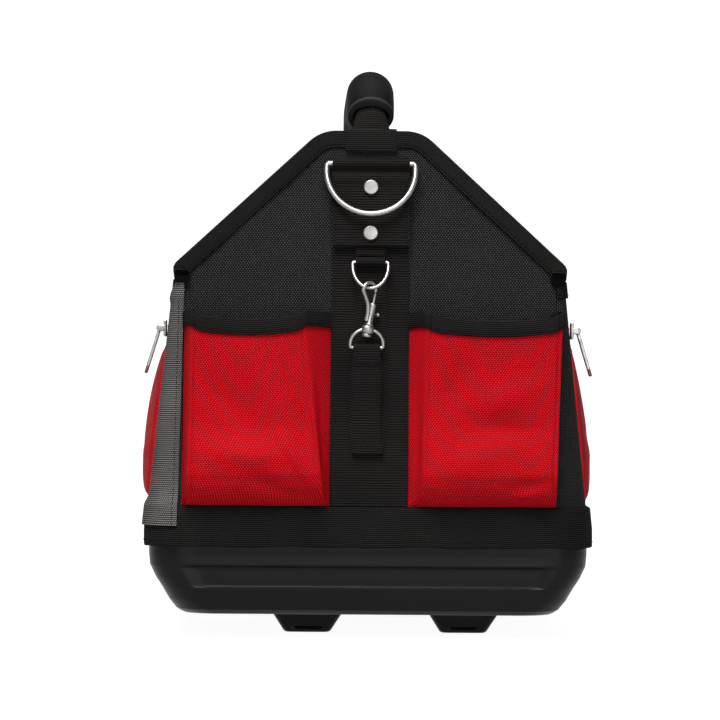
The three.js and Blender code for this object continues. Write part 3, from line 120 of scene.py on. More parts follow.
FOOT_HOLLOW = 1.6
FOOT_LEVELS = (0.07, 0.14, 0.2, 0.26, 0.6, 0.78, 0.84, 0.9, 1)
FOOT_PLACES = {
    f"foot_{row}_{column}": (x, y)
    for row, y in {"front": -115, "middle": 0, "back": 115}.items()
    for column, x in {"left": -39, "right": 64}.items()
}

# End panels and what is sewn on them. Heights run up the leaning face from the wall's foot.
SHOULDER_HEIGHT = 175.3
PANEL_HEIGHT = 257
PANEL_TOP_HALF_WIDTH = 32
PANEL_TOP_RADIUS = 25
PANEL_SHOULDER_RADIUS = 10
PANEL_BINDING_FOOT = (SIDE_BINDING_TOP_Z + 2 * GAP - WALL_FOOT_Z) / math.cos(END_LEAN)
FACE_BOTTOM = (BAND_TOP_Z + GAP - WALL_FOOT_Z) / math.cos(END_LEAN)
WEBBING = 1.4
WEBBING_WIDTH = 50
TAB_WIDTH = 33
TAB_DROP = 12
D_WIRE = 1.8
D_HALF_WIDTH = 28.7
D_DROP = 34.6
D_CORNER = 5
D_BAR_HEIGHT = PANEL_HEIGHT - 20.6
D_BAR_OUT = 3.8
PATCH_FOOT = D_BAR_HEIGHT - 53.6
COVERED_TOP = PATCH_FOOT + 4.4
RIVET_HEIGHTS = {"upper": D_BAR_HEIGHT - 15.6, "lower": D_BAR_HEIGHT - 45.2}
TAPE = 1.1
TAPE_WIDTH = 19.6
TAPE_OUT = 2.0
LOOP_STUB_OUT = 3.4
LOOP_PLY = 1.2
PATCH_OUT = {FRONT: 4.9, BACK: 2.0}

# Handle
LEG_OUT = -(WALL + BINDING_OUT + 2 * GAP + 3)
HANDLE_Z = WALL_FOOT_Z + PANEL_HEIGHT * math.cos(END_LEAN) + 28.3


# Shapes

def lerp(a, b, share):
    return a + (b - a) * share


def smooth_step(low, high, value):
    t = np.clip((np.asarray(value, float) - low) / (high - low), 0, 1)
    return t * t * (3 - 2 * t)


def bump(value, centre, width):
    return np.exp(-(((np.asarray(value, float) - centre) / width) ** 2))


def running_length(points, axis):
    """Distance covered along an axis of a grid of points."""
    steps = np.linalg.norm(np.diff(points, axis=axis), axis=-1)
    zero = np.zeros_like(np.take(steps, [0], axis=axis))
    return np.concatenate([zero, np.cumsum(steps, axis=axis)], axis=axis)


def add_mesh(name, points, faces, corner_uvs, material, sharp_angle=40):
    """An object from points in millimetres, faces, and one uv in millimetres for each face corner."""
    mesh = bpy.data.meshes.new(name)
    mesh.from_pydata((np.asarray(points, float) * MM).tolist(), [], [list(map(int, f)) for f in faces])
    layer = mesh.uv_layers.new(name="cloth")
    layer.data.foreach_set("uv", np.asarray(corner_uvs, np.float32).ravel())
    work = bmesh.new()
    work.from_mesh(mesh)
    bmesh.ops.remove_doubles(work, verts=work.verts, dist=1e-7)
    bmesh.ops.recalc_face_normals(work, faces=work.faces)
    work.to_mesh(mesh)
    work.free()
    mesh.shade_smooth()
    mesh.set_sharp_from_angle(angle=math.radians(sharp_angle))
    mesh.materials.append(material)
    piece = bpy.data.objects.new(name, mesh)
    bpy.context.scene.collection.objects.link(piece)
    return piece


def lofted(rings, looped=False, strip=False, turned=False, laid_out=None):
    """Points, faces and uvs of a skin over closed rings. A strip's ring is a front row and a back row."""
    rings = np.asarray(rings, float)
    count, sides = rings.shape[:2]
    around = np.concatenate([rings, rings[:, :1]], axis=1)
    if looped:
        around = np.concatenate([around, around[:1]], axis=0)
    across = running_length(around, 1)
    along = running_length(around, 0)
    uv = np.stack([along, across] if turned else [across, along], axis=-1)
    if laid_out is not None:
        uv = np.concatenate([laid_out, laid_out[:, :1]], axis=1)
    i, j = [a.ravel() for a in np.mgrid[0:around.shape[0] - 1, 0:sides]]
    corners = [(i, j), (i, j + 1), (i + 1, j + 1), (i + 1, j)]
    faces = np.stack([(a % count) * sides + b % sides for a, b in corners], axis=1).tolist()
    uvs = np.stack([uv[a, b] for a, b in corners], axis=1).reshape(-1, 2).tolist()
    if not looped:
        for row in (0, count - 1):
            start = row * sides
            if strip:
                half = sides // 2
                caps = [
                    (j, j + 1, sides - 2 - j, sides - 1 - j) for j in range(half - 1)
                ]
            else:
                caps = [tuple(range(sides))]
            for cap in caps:
                faces.append([start + k for k in cap])
                uvs += [[0.0, 0.0]] * len(cap)
    return rings.reshape(-1, 3), faces, uvs


def loft_piece(name, rings, material, sharp_angle=40, **kind):
    return add_mesh(name, *lofted(rings, **kind), material, sharp_angle)


def sheet_piece(name, front, back, material, sharp_angle=40, cut=None):
    """A thin closed sheet between a front and a back grid, with its cut's uvs where they are given."""
    rings = np.concatenate([front, back[:, ::-1]], axis=1)
    laid_out = None if cut is None else np.concatenate([cut, cut[:, ::-1]], axis=1)
    return loft_piece(name, rings, material, strip=True, sharp_angle=sharp_angle, laid_out=laid_out)


def joined(parts):
    """Several point, face and uv sets as one."""
    points, faces, uvs = [], [], []
    start = 0
    for some_points, some_faces, some_uvs in parts:
        points.append(np.asarray(some_points, float))
        faces += [[start + k for k in face] for face in some_faces]
        uvs += list(map(list, some_uvs))
        start += len(some_points)
    return np.concatenate(points), faces, uvs


def moved(part, matrix):
    """A point, face and uv set carried by a 4x4 matrix in millimetres."""
    points, faces, uvs = part
    m = np.array(matrix, float)
    return points @ m[:3, :3].T + m[:3, 3], faces, uvs


def rounded_turn(a, corner, b, shares):
    """Points of the curve that leaves a towards a corner and comes to b."""
    return [(1 - t) ** 2 * a + 2 * t * (1 - t) * corner + t * t * b for t in shares]


def rounded_section(corners, radii, steps=4, closed=True):
    """An outline with its corners rounded. Each rounded corner has steps + 1 points."""
    corners = [np.array(c, float) for c in corners]
    count = len(corners)
    radii = [radii] * count if np.isscalar(radii) else radii
    line = []
    for k, corner in enumerate(corners):
        if radii[k] == 0 or (not closed and k in (0, count - 1)):
            line.append(corner)
            continue
        before, after = corners[k - 1] - corner, corners[(k + 1) % count] - corner
        room = [min(radii[k], 0.49 * np.linalg.norm(side)) for side in (before, after)]
        a = corner + before / np.linalg.norm(before) * room[0]
        b = corner + after / np.linalg.norm(after) * room[1]
        line += rounded_turn(a, corner, b, np.linspace(0, 1, steps + 1))
    return np.array(line)


def arc_corner(corners, radii, steps=8):
    """An outline whose corners are turned by arcs of their radii."""
    corners = [np.array(c, float) for c in corners]
    line = []
    for k, corner in enumerate(corners):
        if radii[k] == 0:
            line.append(corner)
            continue
        before = corners[k - 1] - corner
        after = corners[(k + 1) % len(corners)] - corner
        before, after = before / np.linalg.norm(before), after / np.linalg.norm(after)
        back = radii[k] / math.tan(math.acos(float(before @ after)) / 2)
        a, b = corner + before * back, corner + after * back
        line += rounded_turn(a, corner, b, np.linspace(0, 1, steps + 1))
    return np.array(line)


def resampled(points, count):
    """Points spread evenly along a line."""
    points = np.asarray(points, float)
    length = running_length(points, 0)
    at = np.linspace(0, length[-1], count)
    return np.stack([np.interp(at, length, points[:, k]) for k in range(points.shape[1])], axis=1)


def spline(points, count):
    """A smooth curve through points."""
    points = np.asarray(points, float)
    padded = np.concatenate([[2 * points[0] - points[1]], points, [2 * points[-1] - points[-2]]])
    spans = len(points) - 1
    line = []
    for at in np.linspace(0, spans, count):
        k = min(int(at), spans - 1)
        t = at - k
        p0, p1, p2, p3 = padded[k:k + 4]
        line.append(0.5 * (
            2 * p1 + (p2 - p0) * t + (2 * p0 - 5 * p1 + 4 * p2 - p3) * t * t
            + (3 * p1 - p0 - 3 * p2 + p3) * t ** 3
        ))
    return np.array(line)


def tube_rings(path, radius, sides, looped=False):
    """Round rings square to a path, with no twist. The radius is one value or one for each point."""
    path = np.asarray(path, float)
    count = len(path)
    radii = np.broadcast_to(np.asarray(radius, float), (count,))
    if looped:
        tangents = np.roll(path, -1, 0) - np.roll(path, 1, 0)
    else:
        tangents = np.gradient(path, axis=0)
    tangents /= np.linalg.norm(tangents, axis=1, keepdims=True)
    side = np.cross(tangents[0], [0.31, 0.22, 0.93])
    side /= np.linalg.norm(side)
    rings = []
    angles = np.linspace(0, 2 * math.pi, sides, endpoint=False)
    for k in range(count):
        side = side - tangents[k] * (side @ tangents[k])
        side /= np.linalg.norm(side)
        other = np.cross(tangents[k], side)
        round_ring = np.outer(np.cos(angles), side) + np.outer(np.sin(angles), other)
        rings.append(path[k] + radii[k] * round_ring)
    return np.array(rings)


def lathe_rings(profile, sides=32):
    """Rings of (radius, height) rows about Z."""
    angles = np.linspace(0, 2 * math.pi, sides, endpoint=False)
    return np.array([
        np.stack([r * np.cos(angles), r * np.sin(angles), np.full(sides, h)], axis=1) for r, h in profile
    ])


def plan_stations(corner_steps=10, side_steps=30, end_steps=24):
    """Stations round a rounded rectangle: corner number, angle there, and share of the way to the next."""
    stations = []
    for corner in range(4):
        for k in range(corner_steps):
            stations.append((corner, math.pi / 2 * (corner + k / corner_steps), 0))
        straight = end_steps if corner % 2 == 0 else side_steps
        for k in range(straight):
            stations.append((corner, math.pi / 2 * (corner + 1), k / straight))
    return stations


CORNER_SIGNS = [(1, 1), (-1, 1), (-1, -1), (1, -1)]


def plan_place(station, half_width, half_length, radius, offset=0.0):
    """Place on a rounded rectangle at a station, moved out by an offset."""
    corner, angle, share = station
    normal = np.array([math.cos(angle), math.sin(angle)])
    inner = np.array([half_width - radius, half_length - radius])
    here = inner * CORNER_SIGNS[corner]
    there = inner * CORNER_SIGNS[(corner + 1) % 4]
    return lerp(here, there, share) + normal * (radius + offset)


def corner_distance(station, half_width, half_length, radius):
    """How far a station lies from the nearer end of its straight side, or 0 in a corner."""
    corner, _, share = station
    inner = np.array([half_width - radius, half_length - radius])
    run = np.linalg.norm(inner * CORNER_SIGNS[(corner + 1) % 4] - inner * CORNER_SIGNS[corner])
    return run * min(share, 1 - share)


def rounded_block(low, high, radius, steps=3, corner=None):
    """Box between two corners with rounded edges."""
    low, high = np.array(low, float), np.array(high, float)
    half = (high - low) / 2
    middle = (high + low) / 2
    plan = max(corner or radius, radius)
    stations = plan_stations(5, 1, 1)
    rings = []
    for end in (-1, 1):
        angles = np.linspace(0, math.pi / 2, steps + 1)
        for angle in (angles if end > 0 else angles[::-1]):
            z = end * (half[2] - radius * (1 - math.sin(angle)))
            inset = radius * (1 - math.cos(angle))
            plan_half = half[:2] - inset
            ring = [plan_place(s, *plan_half, max(plan - inset, 0.02)) for s in stations]
            rings.append([(x, y, z) for x, y in ring])
    return moved(lofted(np.array(rings)), Matrix.Translation(middle))


# Places on the cloth body

def plan_at(z):
    """Half-width, half-length and corner radius of the cloth body at a height."""
    share = np.maximum(np.asarray(z, float) - WALL_FOOT_Z, 0) / WALL_HEIGHT
    half_width = BODY_HALF_WIDTH - SIDE_LEAN_IN * share
    half_length = BODY_HALF_LENGTH - END_LEAN_IN * share
    return half_width, half_length, half_width - PANEL_HALF_WIDTH - GAP


def swell(z, share):
    """How far a side wall stands out between its ends, with slow waves in the cloth."""
    rise = np.clip((z - BAND_TOP_Z) / (WALL_TOP_Z - BAND_TOP_Z), 0, 1)
    run = np.clip(share, 0, 1)
    hold = np.sin(math.pi * rise) * np.sin(math.pi * run)
    waves = 0.5 * np.sin(9 * run + 2.2 * rise) * np.sin(5 * rise + 3 * run)
    return hold * (WALL_BULGE + waves)


def wall_points(along, z, offset, side):
    """Points off a side wall: along goes from 0 to 3 over the front corner, the side and the back corner."""
    along, z, offset = np.broadcast_arrays(*(np.asarray(v, float) for v in (along, z, offset)))
    half_width, half_length, radius = plan_at(z)
    end = np.where(along < 1.5, -1, 1)
    from_end = np.where(along < 1.5, along, 3 - along)
    straight = (along > 1) & (along < 2)
    angle = math.pi / 2 * np.clip(from_end, 0, 1)
    x = np.where(
        straight,
        half_width + offset + swell(z, along - 1),
        half_width - radius + (radius + offset) * np.sin(angle),
    )
    y = np.where(
        straight,
        (radius - half_length) + 2 * (half_length - radius) * (along - 1),
        end * (half_length - radius + (radius + offset) * np.cos(angle)),
    )
    return np.stack([side * x, y, z], axis=-1)


def side_points(y, z, offset, side):
    """Points off a side wall at places along the tote."""
    y, z, offset = np.broadcast_arrays(*(np.asarray(v, float) for v in (y, z, offset)))
    half_width, half_length, radius = plan_at(z)
    run = half_length - radius
    x = half_width + offset + swell(z, (y + run) / (2 * run))
    return np.stack([side * x, y, z], axis=-1)


def face_points(x, h, out, end):
    """Points off an end's leaning face: x to the right, h up the face and out of it."""
    x, h, out = np.broadcast_arrays(*(np.asarray(v, float) for v in (x, h, out)))
    y = -BODY_HALF_LENGTH + h * math.sin(END_LEAN) - out * math.cos(END_LEAN)
    z = WALL_FOOT_Z + h * math.cos(END_LEAN) + out * math.sin(END_LEAN)
    return np.stack([end * x, end * y, z], axis=-1)


def face_matrix(end):
    """Carries x right, y up and z out of an end's face into the frame."""
    return (
        Matrix.Rotation(0 if end == FRONT else math.pi, 4, "Z")
        @ Matrix.Translation((0, -BODY_HALF_LENGTH, WALL_FOOT_Z))
        @ Matrix.Rotation(math.pi / 2 - END_LEAN, 4, "X")
    )


def face_seam(x, h, out, end, facing=1):
    """A line for stitches along an end's face, with the cloth's normal at each point."""
    points = face_points(x, h, out, end)
    normal = np.array([0, -end * math.cos(END_LEAN), math.sin(END_LEAN)])
    return points, np.tile(normal * facing, (len(points), 1))


def straight_seams(pairs, out, end):
    """Straight lines for stitches between pairs of places on an end's face."""
    lines = [resampled(pair, 20) for pair in pairs]
    return [face_seam(line[:, 0], line[:, 1], out, end) for line in lines]


def folded_outline(sheet, out, foot, top, crotch, lip_radius, fold_radius):
    """Section of binding folded over the edge of a sheet, as (out of the sheet, level) rows."""
    back, inner = -sheet - out, -sheet - GAP
    corners = [(GAP, foot), (out, foot), (out, top), (back, top), (back, foot), (inner, foot),
               (inner, crotch), (GAP, crotch)]
    radii = [0.2, lip_radius, fold_radius, fold_radius, lip_radius, 0.2, 0.2, 0.2]
    return rounded_section(corners, radii, 4)


# Materials

WARP_PITCH = 0.89
WEFT_PITCH = 1.22


class Shader:
    """A procedural material that is built node by node."""

    def __init__(self, name, **surface):
        self.material = bpy.data.materials.new(name)
        self.material.use_nodes = True
        self.tree = self.material.node_tree
        self.surface = self.tree.nodes["Principled BSDF"]
        for socket, value in surface.items():
            self.surface.inputs[socket.replace("_", " ")].default_value = value

    def feed(self, socket, value):
        if isinstance(value, bpy.types.NodeSocket):
            self.tree.links.new(value, socket)
        else:
            socket.default_value = value

    def math(self, operation, *values, clamp=False):
        node = self.tree.nodes.new("ShaderNodeMath")
        node.operation = operation
        node.use_clamp = clamp
        for socket, value in zip(node.inputs, values):
            self.feed(socket, value)
        return node.outputs[0]

    def wave(self, value):
        """A sine that crosses zero at each whole step of a value."""
        return self.math("SINE", self.math("MULTIPLY", value, math.pi))

    def cloth_uv(self):
        node = self.tree.nodes.new("ShaderNodeUVMap")
        node.uv_map = "cloth"
        split = self.tree.nodes.new("ShaderNodeSeparateXYZ")
        self.feed(split.inputs[0], node.outputs[0])
        return split.outputs[0], split.outputs[1]

    def place(self):
        return self.tree.nodes.new("ShaderNodeTexCoord").outputs["Object"]

    def noise(self, scale, detail=3, roughness=0.55, vector=None):
        node = self.tree.nodes.new("ShaderNodeTexNoise")
        self.feed(node.inputs["Vector"], vector or self.place())
        node.inputs["Scale"].default_value = scale
        node.inputs["Detail"].default_value = detail
        node.inputs["Roughness"].default_value = roughness
        return node.outputs["Fac"]

    def each_cell(self, u, v):
        """A number from 0 to 1 for each whole step of u and v."""
        join = self.tree.nodes.new("ShaderNodeCombineXYZ")
        self.feed(join.inputs[0], self.math("FLOOR", u))
        self.feed(join.inputs[1], self.math("FLOOR", v))
        node = self.tree.nodes.new("ShaderNodeTexWhiteNoise")
        node.noise_dimensions = "2D"
        self.feed(node.inputs["Vector"], join.outputs[0])
        return node.outputs["Value"]

    def remap(self, value, low, high, to_low, to_high):
        node = self.tree.nodes.new("ShaderNodeMapRange")
        for socket, given in zip(node.inputs, (value, low, high, to_low, to_high)):
            self.feed(socket, given)
        return node.outputs[0]

    def mix(self, share, first, second):
        node = self.tree.nodes.new("ShaderNodeMix")
        node.data_type = "RGBA"
        self.feed(node.inputs[0], share)
        for socket, colour in ((node.inputs[6], first), (node.inputs[7], second)):
            self.feed(socket, colour if isinstance(colour, bpy.types.NodeSocket) else (*colour, 1))
        return node.outputs[2]

    def relief(self, height, depth_mm, strength=1.0):
        node = self.tree.nodes.new("ShaderNodeBump")
        node.inputs["Strength"].default_value = strength
        node.inputs["Distance"].default_value = depth_mm * MM
        self.feed(node.inputs["Height"], height)
        self.feed(self.surface.inputs["Normal"], node.outputs[0])

    def colour(self, value):
        self.feed(self.surface.inputs["Base Color"], value)

    def roughness(self, value):
        self.feed(self.surface.inputs["Roughness"], value)


def ballistic_cloth(name, deep, base, painted_highlight, roughness):
    """Coarse plain weave of thick yarn: painted highlight on the raised warp crossings, weft crossings lower
    and darker, and painted shade in the gaps between crossings.
    """
    s = Shader(name, Specular_IOR_Level=0.03)
    u, v = s.cloth_uv()
    wander = s.remap(s.noise(12, 2), 0.3, 0.7, -0.35, 0.35)
    a = s.math("ADD", s.math("DIVIDE", u, WARP_PITCH), wander)
    b = s.math("ADD", s.math("DIVIDE", v, WEFT_PITCH), wander)
    crossing = s.math("MULTIPLY", s.wave(a), s.wave(b))
    warp = s.math("MAXIMUM", crossing, 0.0)
    weft = s.math("MAXIMUM", s.math("MULTIPLY", crossing, -1.0), 0.0)
    height = s.math("ADD", s.math("POWER", warp, 0.7), s.math("MULTIPLY", weft, 0.4))
    # The gaps between yarn crossings take the darkest colour: painted shade.
    body = s.mix(s.remap(s.math("ADD", warp, weft), 0.1, 0.7, 0.0, 1.0), deep, base)
    yarn = s.remap(s.each_cell(a, b), 0.0, 1.0, 0.7, 1.0)
    # Painted highlight on the raised warp crossings, varied yarn by yarn.
    lit = s.mix(s.math("MULTIPLY", s.remap(warp, 0.2, 0.7, 0.0, 1.0), yarn), body, painted_highlight)
    slub = s.remap(s.noise(9, 4), 0.3, 0.7, 0.0, 0.12)
    s.colour(s.mix(slub, lit, deep))
    s.roughness(s.remap(s.noise(60, 2), 0.3, 0.7, roughness - 0.05, roughness + 0.05))
    s.relief(height, 0.3, 0.8)
    return s.material


def ribbed_tape(name, deep, base, pitch, fine, roughness=0.85, bricks=0.0):
    """Woven tape with ribs at a pitch and finer yarn across them, with bricks set off row by row, and painted
    shade in the grooves between the ribs.
    """
    s = Shader(name, Specular_IOR_Level=0.03)
    along, across = s.cloth_uv()
    row = s.math("DIVIDE", across, pitch)
    rib = s.math("ABSOLUTE", s.wave(row))
    shift = s.math("MULTIPLY", s.math("FLOOR", row), bricks)
    yarn = s.math("ABSOLUTE", s.wave(s.math("ADD", s.math("DIVIDE", along, fine), shift)))
    height = s.math("MULTIPLY", s.math("POWER", rib, 0.6), s.remap(yarn, 0.0, 1.0, 0.62, 1.0))
    worn = s.remap(s.noise(22, 4), 0.35, 0.75, 0.0, 0.35)
    # Colour follows the relief: painted shade in the grooves, base colour on the rib tops.
    body = s.mix(s.remap(height, 0.5, 0.98, 0.0, 1.0), deep, base)
    s.colour(s.mix(worn, body, deep))
    s.roughness(roughness)
    s.relief(height, 0.28, 0.9)
    return s.material


def moulded_plastic(name, base, light, roughness, grain):
    """Moulded plastic with a fine spark-eroded grain and faint rubbed places."""
    s = Shader(name, Specular_IOR_Level=0.08)
    fine = s.noise(1500, 3, 0.6)
    broad = s.noise(14, 4, 0.6)
    s.colour(s.mix(s.remap(broad, 0.35, 0.7, 0.0, 0.5), base, light))
    s.roughness(s.remap(broad, 0.3, 0.7, roughness - 0.06, roughness + 0.06))
    s.relief(fine, grain, 0.5)
    return s.material


def satin_metal(name, base, dull, roughness):
    """Satin plated metal with small dull patches and hairline scratches."""
    s = Shader(name, Metallic=1.0, Anisotropic=0.2)
    patches = s.noise(260, 4, 0.6)
    s.colour(s.mix(s.remap(patches, 0.42, 0.72, 0.0, 0.65), base, dull))
    s.roughness(s.remap(s.noise(90, 3), 0.3, 0.7, roughness - 0.06, roughness + 0.1))
    s.relief(s.noise(900, 2), 0.02, 0.35)
    return s.material


def soft_rubber(name, base, light):
    """Soft sleeve with a matt skin and small pores."""
    s = Shader(name, Specular_IOR_Level=0.03)
    pores = s.noise(700, 4, 0.65)
    s.colour(s.mix(s.remap(s.noise(30, 3), 0.35, 0.7, 0.0, 0.6), base, light))
    s.roughness(s.remap(pores, 0.35, 0.7, 0.6, 0.75))
    s.relief(pores, 0.09, 0.6)
    return s.material


def thread(name, base, light):
    """Twisted sewing thread."""
    s = Shader(name, Specular_IOR_Level=0.03)
    twist = s.noise(1800, 1)
    s.colour(s.mix(twist, base, light))
    s.roughness(0.7)
    return s.material


def grey(level):
    return level, level, level


# Cloth colours: painted shade in the gaps and darker slubs, base, painted highlight on the warp crossings.
BLACK_CLOTH = ballistic_cloth("black_ballistic_cloth", grey(0.0005), grey(0.0045), grey(0.033), 0.8)
RED_CLOTH = ballistic_cloth(
    "red_ballistic_cloth", (0.055, 0, 0.0003), (0.2, 0, 0.0008), (0.52, 0.007, 0.018), 0.7)
# Tape colours: painted shade in the rib grooves and worn patches, then the base.
BINDING = ribbed_tape("grosgrain_binding", grey(0.0005), (0.012, 0.0113, 0.0108), 1.3, 0.6)
WEB_BLACK = ribbed_tape("black_webbing", grey(0), (0.0125, 0.0113, 0.0105), 1.65, 1.5, bricks=0.5)
WEB_GREY = ribbed_tape(
    "grey_webbing", (0.006, 0.0058, 0.0056), (0.1, 0.096, 0.092), 1.35, 1.5, roughness=0.9, bricks=0.5)
TRAY_PLASTIC = moulded_plastic(
    "moulded_tray_plastic", (0.0022, 0.0021, 0.002), (0.0034, 0.0032, 0.003), 0.36, 0.05)
FOOT_PLASTIC = moulded_plastic("glossy_foot_plastic", grey(0.002), grey(0.005), 0.25, 0.03)
RED_PLASTIC = moulded_plastic("red_latch_plastic", (0.36, 0.008, 0.015), (0.45, 0.02, 0.025), 0.4, 0.04)
PULL_TIP = moulded_plastic("pull_tip", (0.08, 0.035, 0.03), (0.13, 0.06, 0.05), 0.5, 0.04)
NICKEL = satin_metal("satin_nickel", (0.23, 0.225, 0.22), (0.16, 0.155, 0.15), 0.4)
ZIP_METAL = satin_metal("zip_nickel", (0.32, 0.305, 0.29), (0.16, 0.145, 0.13), 0.36)
RUBBER = soft_rubber("grip_rubber", (0.002, 0.0019, 0.002), (0.004, 0.0038, 0.004))
# The rims' rubber is a lighter copy of the grip rubber: painted light on the rims' faces.
LIT_RIM_RUBBER = soft_rubber("grip_rim_lit_rubber", (0.011, 0.0108, 0.011), (0.018, 0.0177, 0.018))
BLACK_THREAD = thread("black_thread", grey(0.001), grey(0.006))
RED_THREAD = thread("red_thread", (0.2, 0.003, 0.006), (0.45, 0.015, 0.02))


def settle(piece, *nodes, body="tote"):
    """A piece rides on its body and stands for its nodes, which it hides."""
    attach(piece, body)
    if nodes:
        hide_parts(*nodes)
    return piece


# Seams

STITCH_SIDES = 6
STITCH_SHARES = (-1, -0.8, -0.3, 0.3, 0.8, 1)


def value_at(rows, run, at):
    """A row of three values at a distance along a line."""
    return np.array([np.interp(at, run, rows[:, axis]) for axis in range(3)])


def stitches(name, lines, material, spacing=3.2, length=2.3, radius=0.28, sink=0.1):
    """Rows of stitches. Each line is its points and the cloth's normals there."""
    parts = []
    for points, normals in lines:
        points, normals = np.asarray(points, float), np.asarray(normals, float)
        run = running_length(points, 0)
        count = max(int(run[-1] / spacing), 1)
        for k in range(count):
            at = (k + 0.5) * run[-1] / count
            here, normal = value_at(points, run, at), value_at(normals, run, at)
            ahead = value_at(points, run, min(at + 0.5, run[-1]))
            behind = value_at(points, run, max(at - 0.5, 0))
            normal /= np.linalg.norm(normal)
            along = (ahead - behind) / np.linalg.norm(ahead - behind)
            rise = [-radius * 1.2, radius * 0.2, radius, radius, radius * 0.2, -radius * 1.2]
            path = [
                here + along * share * length / 2 + normal * (lift - sink)
                for share, lift in zip(STITCH_SHARES, rise)
            ]
            parts.append(lofted(tube_rings(path, radius, STITCH_SIDES)))
    return add_mesh(name, *joined(parts), material, 80)


# Tray, feet and latch

def tray_level(height, column):
    return float(np.interp(height, TRAY_LEVELS[:, 0], TRAY_LEVELS[:, column]))


def recess_share(height):
    """How deep the tray's recess is at a height, from 0 to 1."""
    opened = smooth_step(RECESS_FROM - RECESS_EASE, RECESS_FROM + RECESS_EASE, height)
    return opened * (1 - smooth_step(RECESS_TO - RECESS_EASE, RECESS_TO + RECESS_EASE, height))


def make_tray():
    stations = plan_stations(12, 60, 44)
    heights = np.unique(np.concatenate([
        np.linspace(0, 0.1, 12), np.linspace(0.1, RECESS_FROM - 0.03, 10),
        np.linspace(RECESS_FROM - 0.014, RECESS_FROM + 0.014, 6), np.linspace(0.36, 0.53, 7),
        np.linspace(RECESS_TO - 0.014, RECESS_TO + 0.014, 6), np.linspace(0.6, 1, 8),
    ]))

    def ring(height, inset, detailed):
        half_width = TRAY_HALF_WIDTH - TRAY_SIDE_TAPER * tray_level(height, 1)
        half_length = TRAY_HALF_LENGTH - TRAY_END_TAPER * tray_level(height, 2)
        points = []
        for station in stations:
            push = -inset
            if detailed:
                away = corner_distance(station, half_width, half_length, TRAY_RADIUS)
                inside = smooth_step(0.5, 3.5, away)
                upper = float(smooth_step(RECESS_TO + 0.03, RECESS_TO + 0.06, height))
                push -= inside * (RECESS_DEPTH * recess_share(height) + STRIP_DEPTH * upper)
            x, y = plan_place(station, half_width, half_length, TRAY_RADIUS, push)
            points.append((x, y, TRAY_FOOT_Z + TRAY_HEIGHT * height))
        return points

    floor_share = TRAY_FLOOR / TRAY_HEIGHT
    outer = [ring(h, 0, True) for h in heights]
    rim = [ring(1, TRAY_WALL * 0.5, False)]
    inner = [ring(h, TRAY_WALL, False) for h in np.linspace(1, floor_share, 14)]
    parts = [lofted(np.array(outer + rim + inner))]
    runner_foot = TRAY_FOOT_Z - RUNNER_DROP
    for hand in (-1, 1):
        for inside, top in ((RUNNER_Y[0], TRAY_FOOT_Z), (RUNNER_LIP_Y, runner_foot)):
            y = sorted((hand * inside, hand * RUNNER_Y[1]))
            low, high = zip(RUNNER_X, y, (runner_foot, top + RUNNER_PLY))
            parts.append(rounded_block(low, high, 0.5))
    tray = add_mesh("tray", *joined(parts), TRAY_PLASTIC, 50)
    settle(tray, "base_tray")


def make_feet():
    """Tapered feet with a hollow in each sloping face and a rounded sole."""
    stations = plan_stations(5, 14, 14)
    levels = [(0, -0.9), (0.02, -0.4)] + [(share, 0) for share in FOOT_LEVELS]
    for name, (x, y) in FOOT_PLACES.items():
        rings = []
        for share, grow in levels:
            half = [lerp(sole, top, share) + grow for sole, top in zip(FOOT_SOLE_HALF, FOOT_TOP_HALF)]
            hollow = smooth_step(0.14, 0.26, share) * (1 - smooth_step(0.78, 0.9, share))
            ring = []
            for station in stations:
                away = corner_distance(station, *half, FOOT_RADIUS)
                push = -FOOT_HOLLOW * hollow * float(smooth_step(1.5, 4, away))
                px, py = plan_place(station, *half, FOOT_RADIUS, push)
                ring.append((x + px, y + py, FOOT_HEIGHT * share))
            rings.append(ring)
        settle(loft_piece(f"{name}_pad", rings, FOOT_PLASTIC, sharp_angle=35), name)


def make_latch():
    (x0, x1), (y0, y1), (z0, z1) = [reach("base_latch", axis) for axis in range(3)]
    plate = rounded_block((x0, y0, z1 - LATCH_PLATE), (x1, y1, z1), 0.5, corner=2)
    lip = rounded_block((x0, y0, z0), (x0 + LATCH_LIP, y1, z1 - 1.3), 0.6, corner=1.4)
    ribs = [
        rounded_block((x0 + 8 + 4 * k, y0 + 10, z1 - 3.1), (x0 + 10 + 4 * k, y1 - 10, z1 - 2.2), 0.4)
        for k in range(5)
    ]
    settle(add_mesh("latch_plate", *joined([plate, lip, *ribs]), RED_PLASTIC, 50), "base_latch", body="latch")


# Band and walls

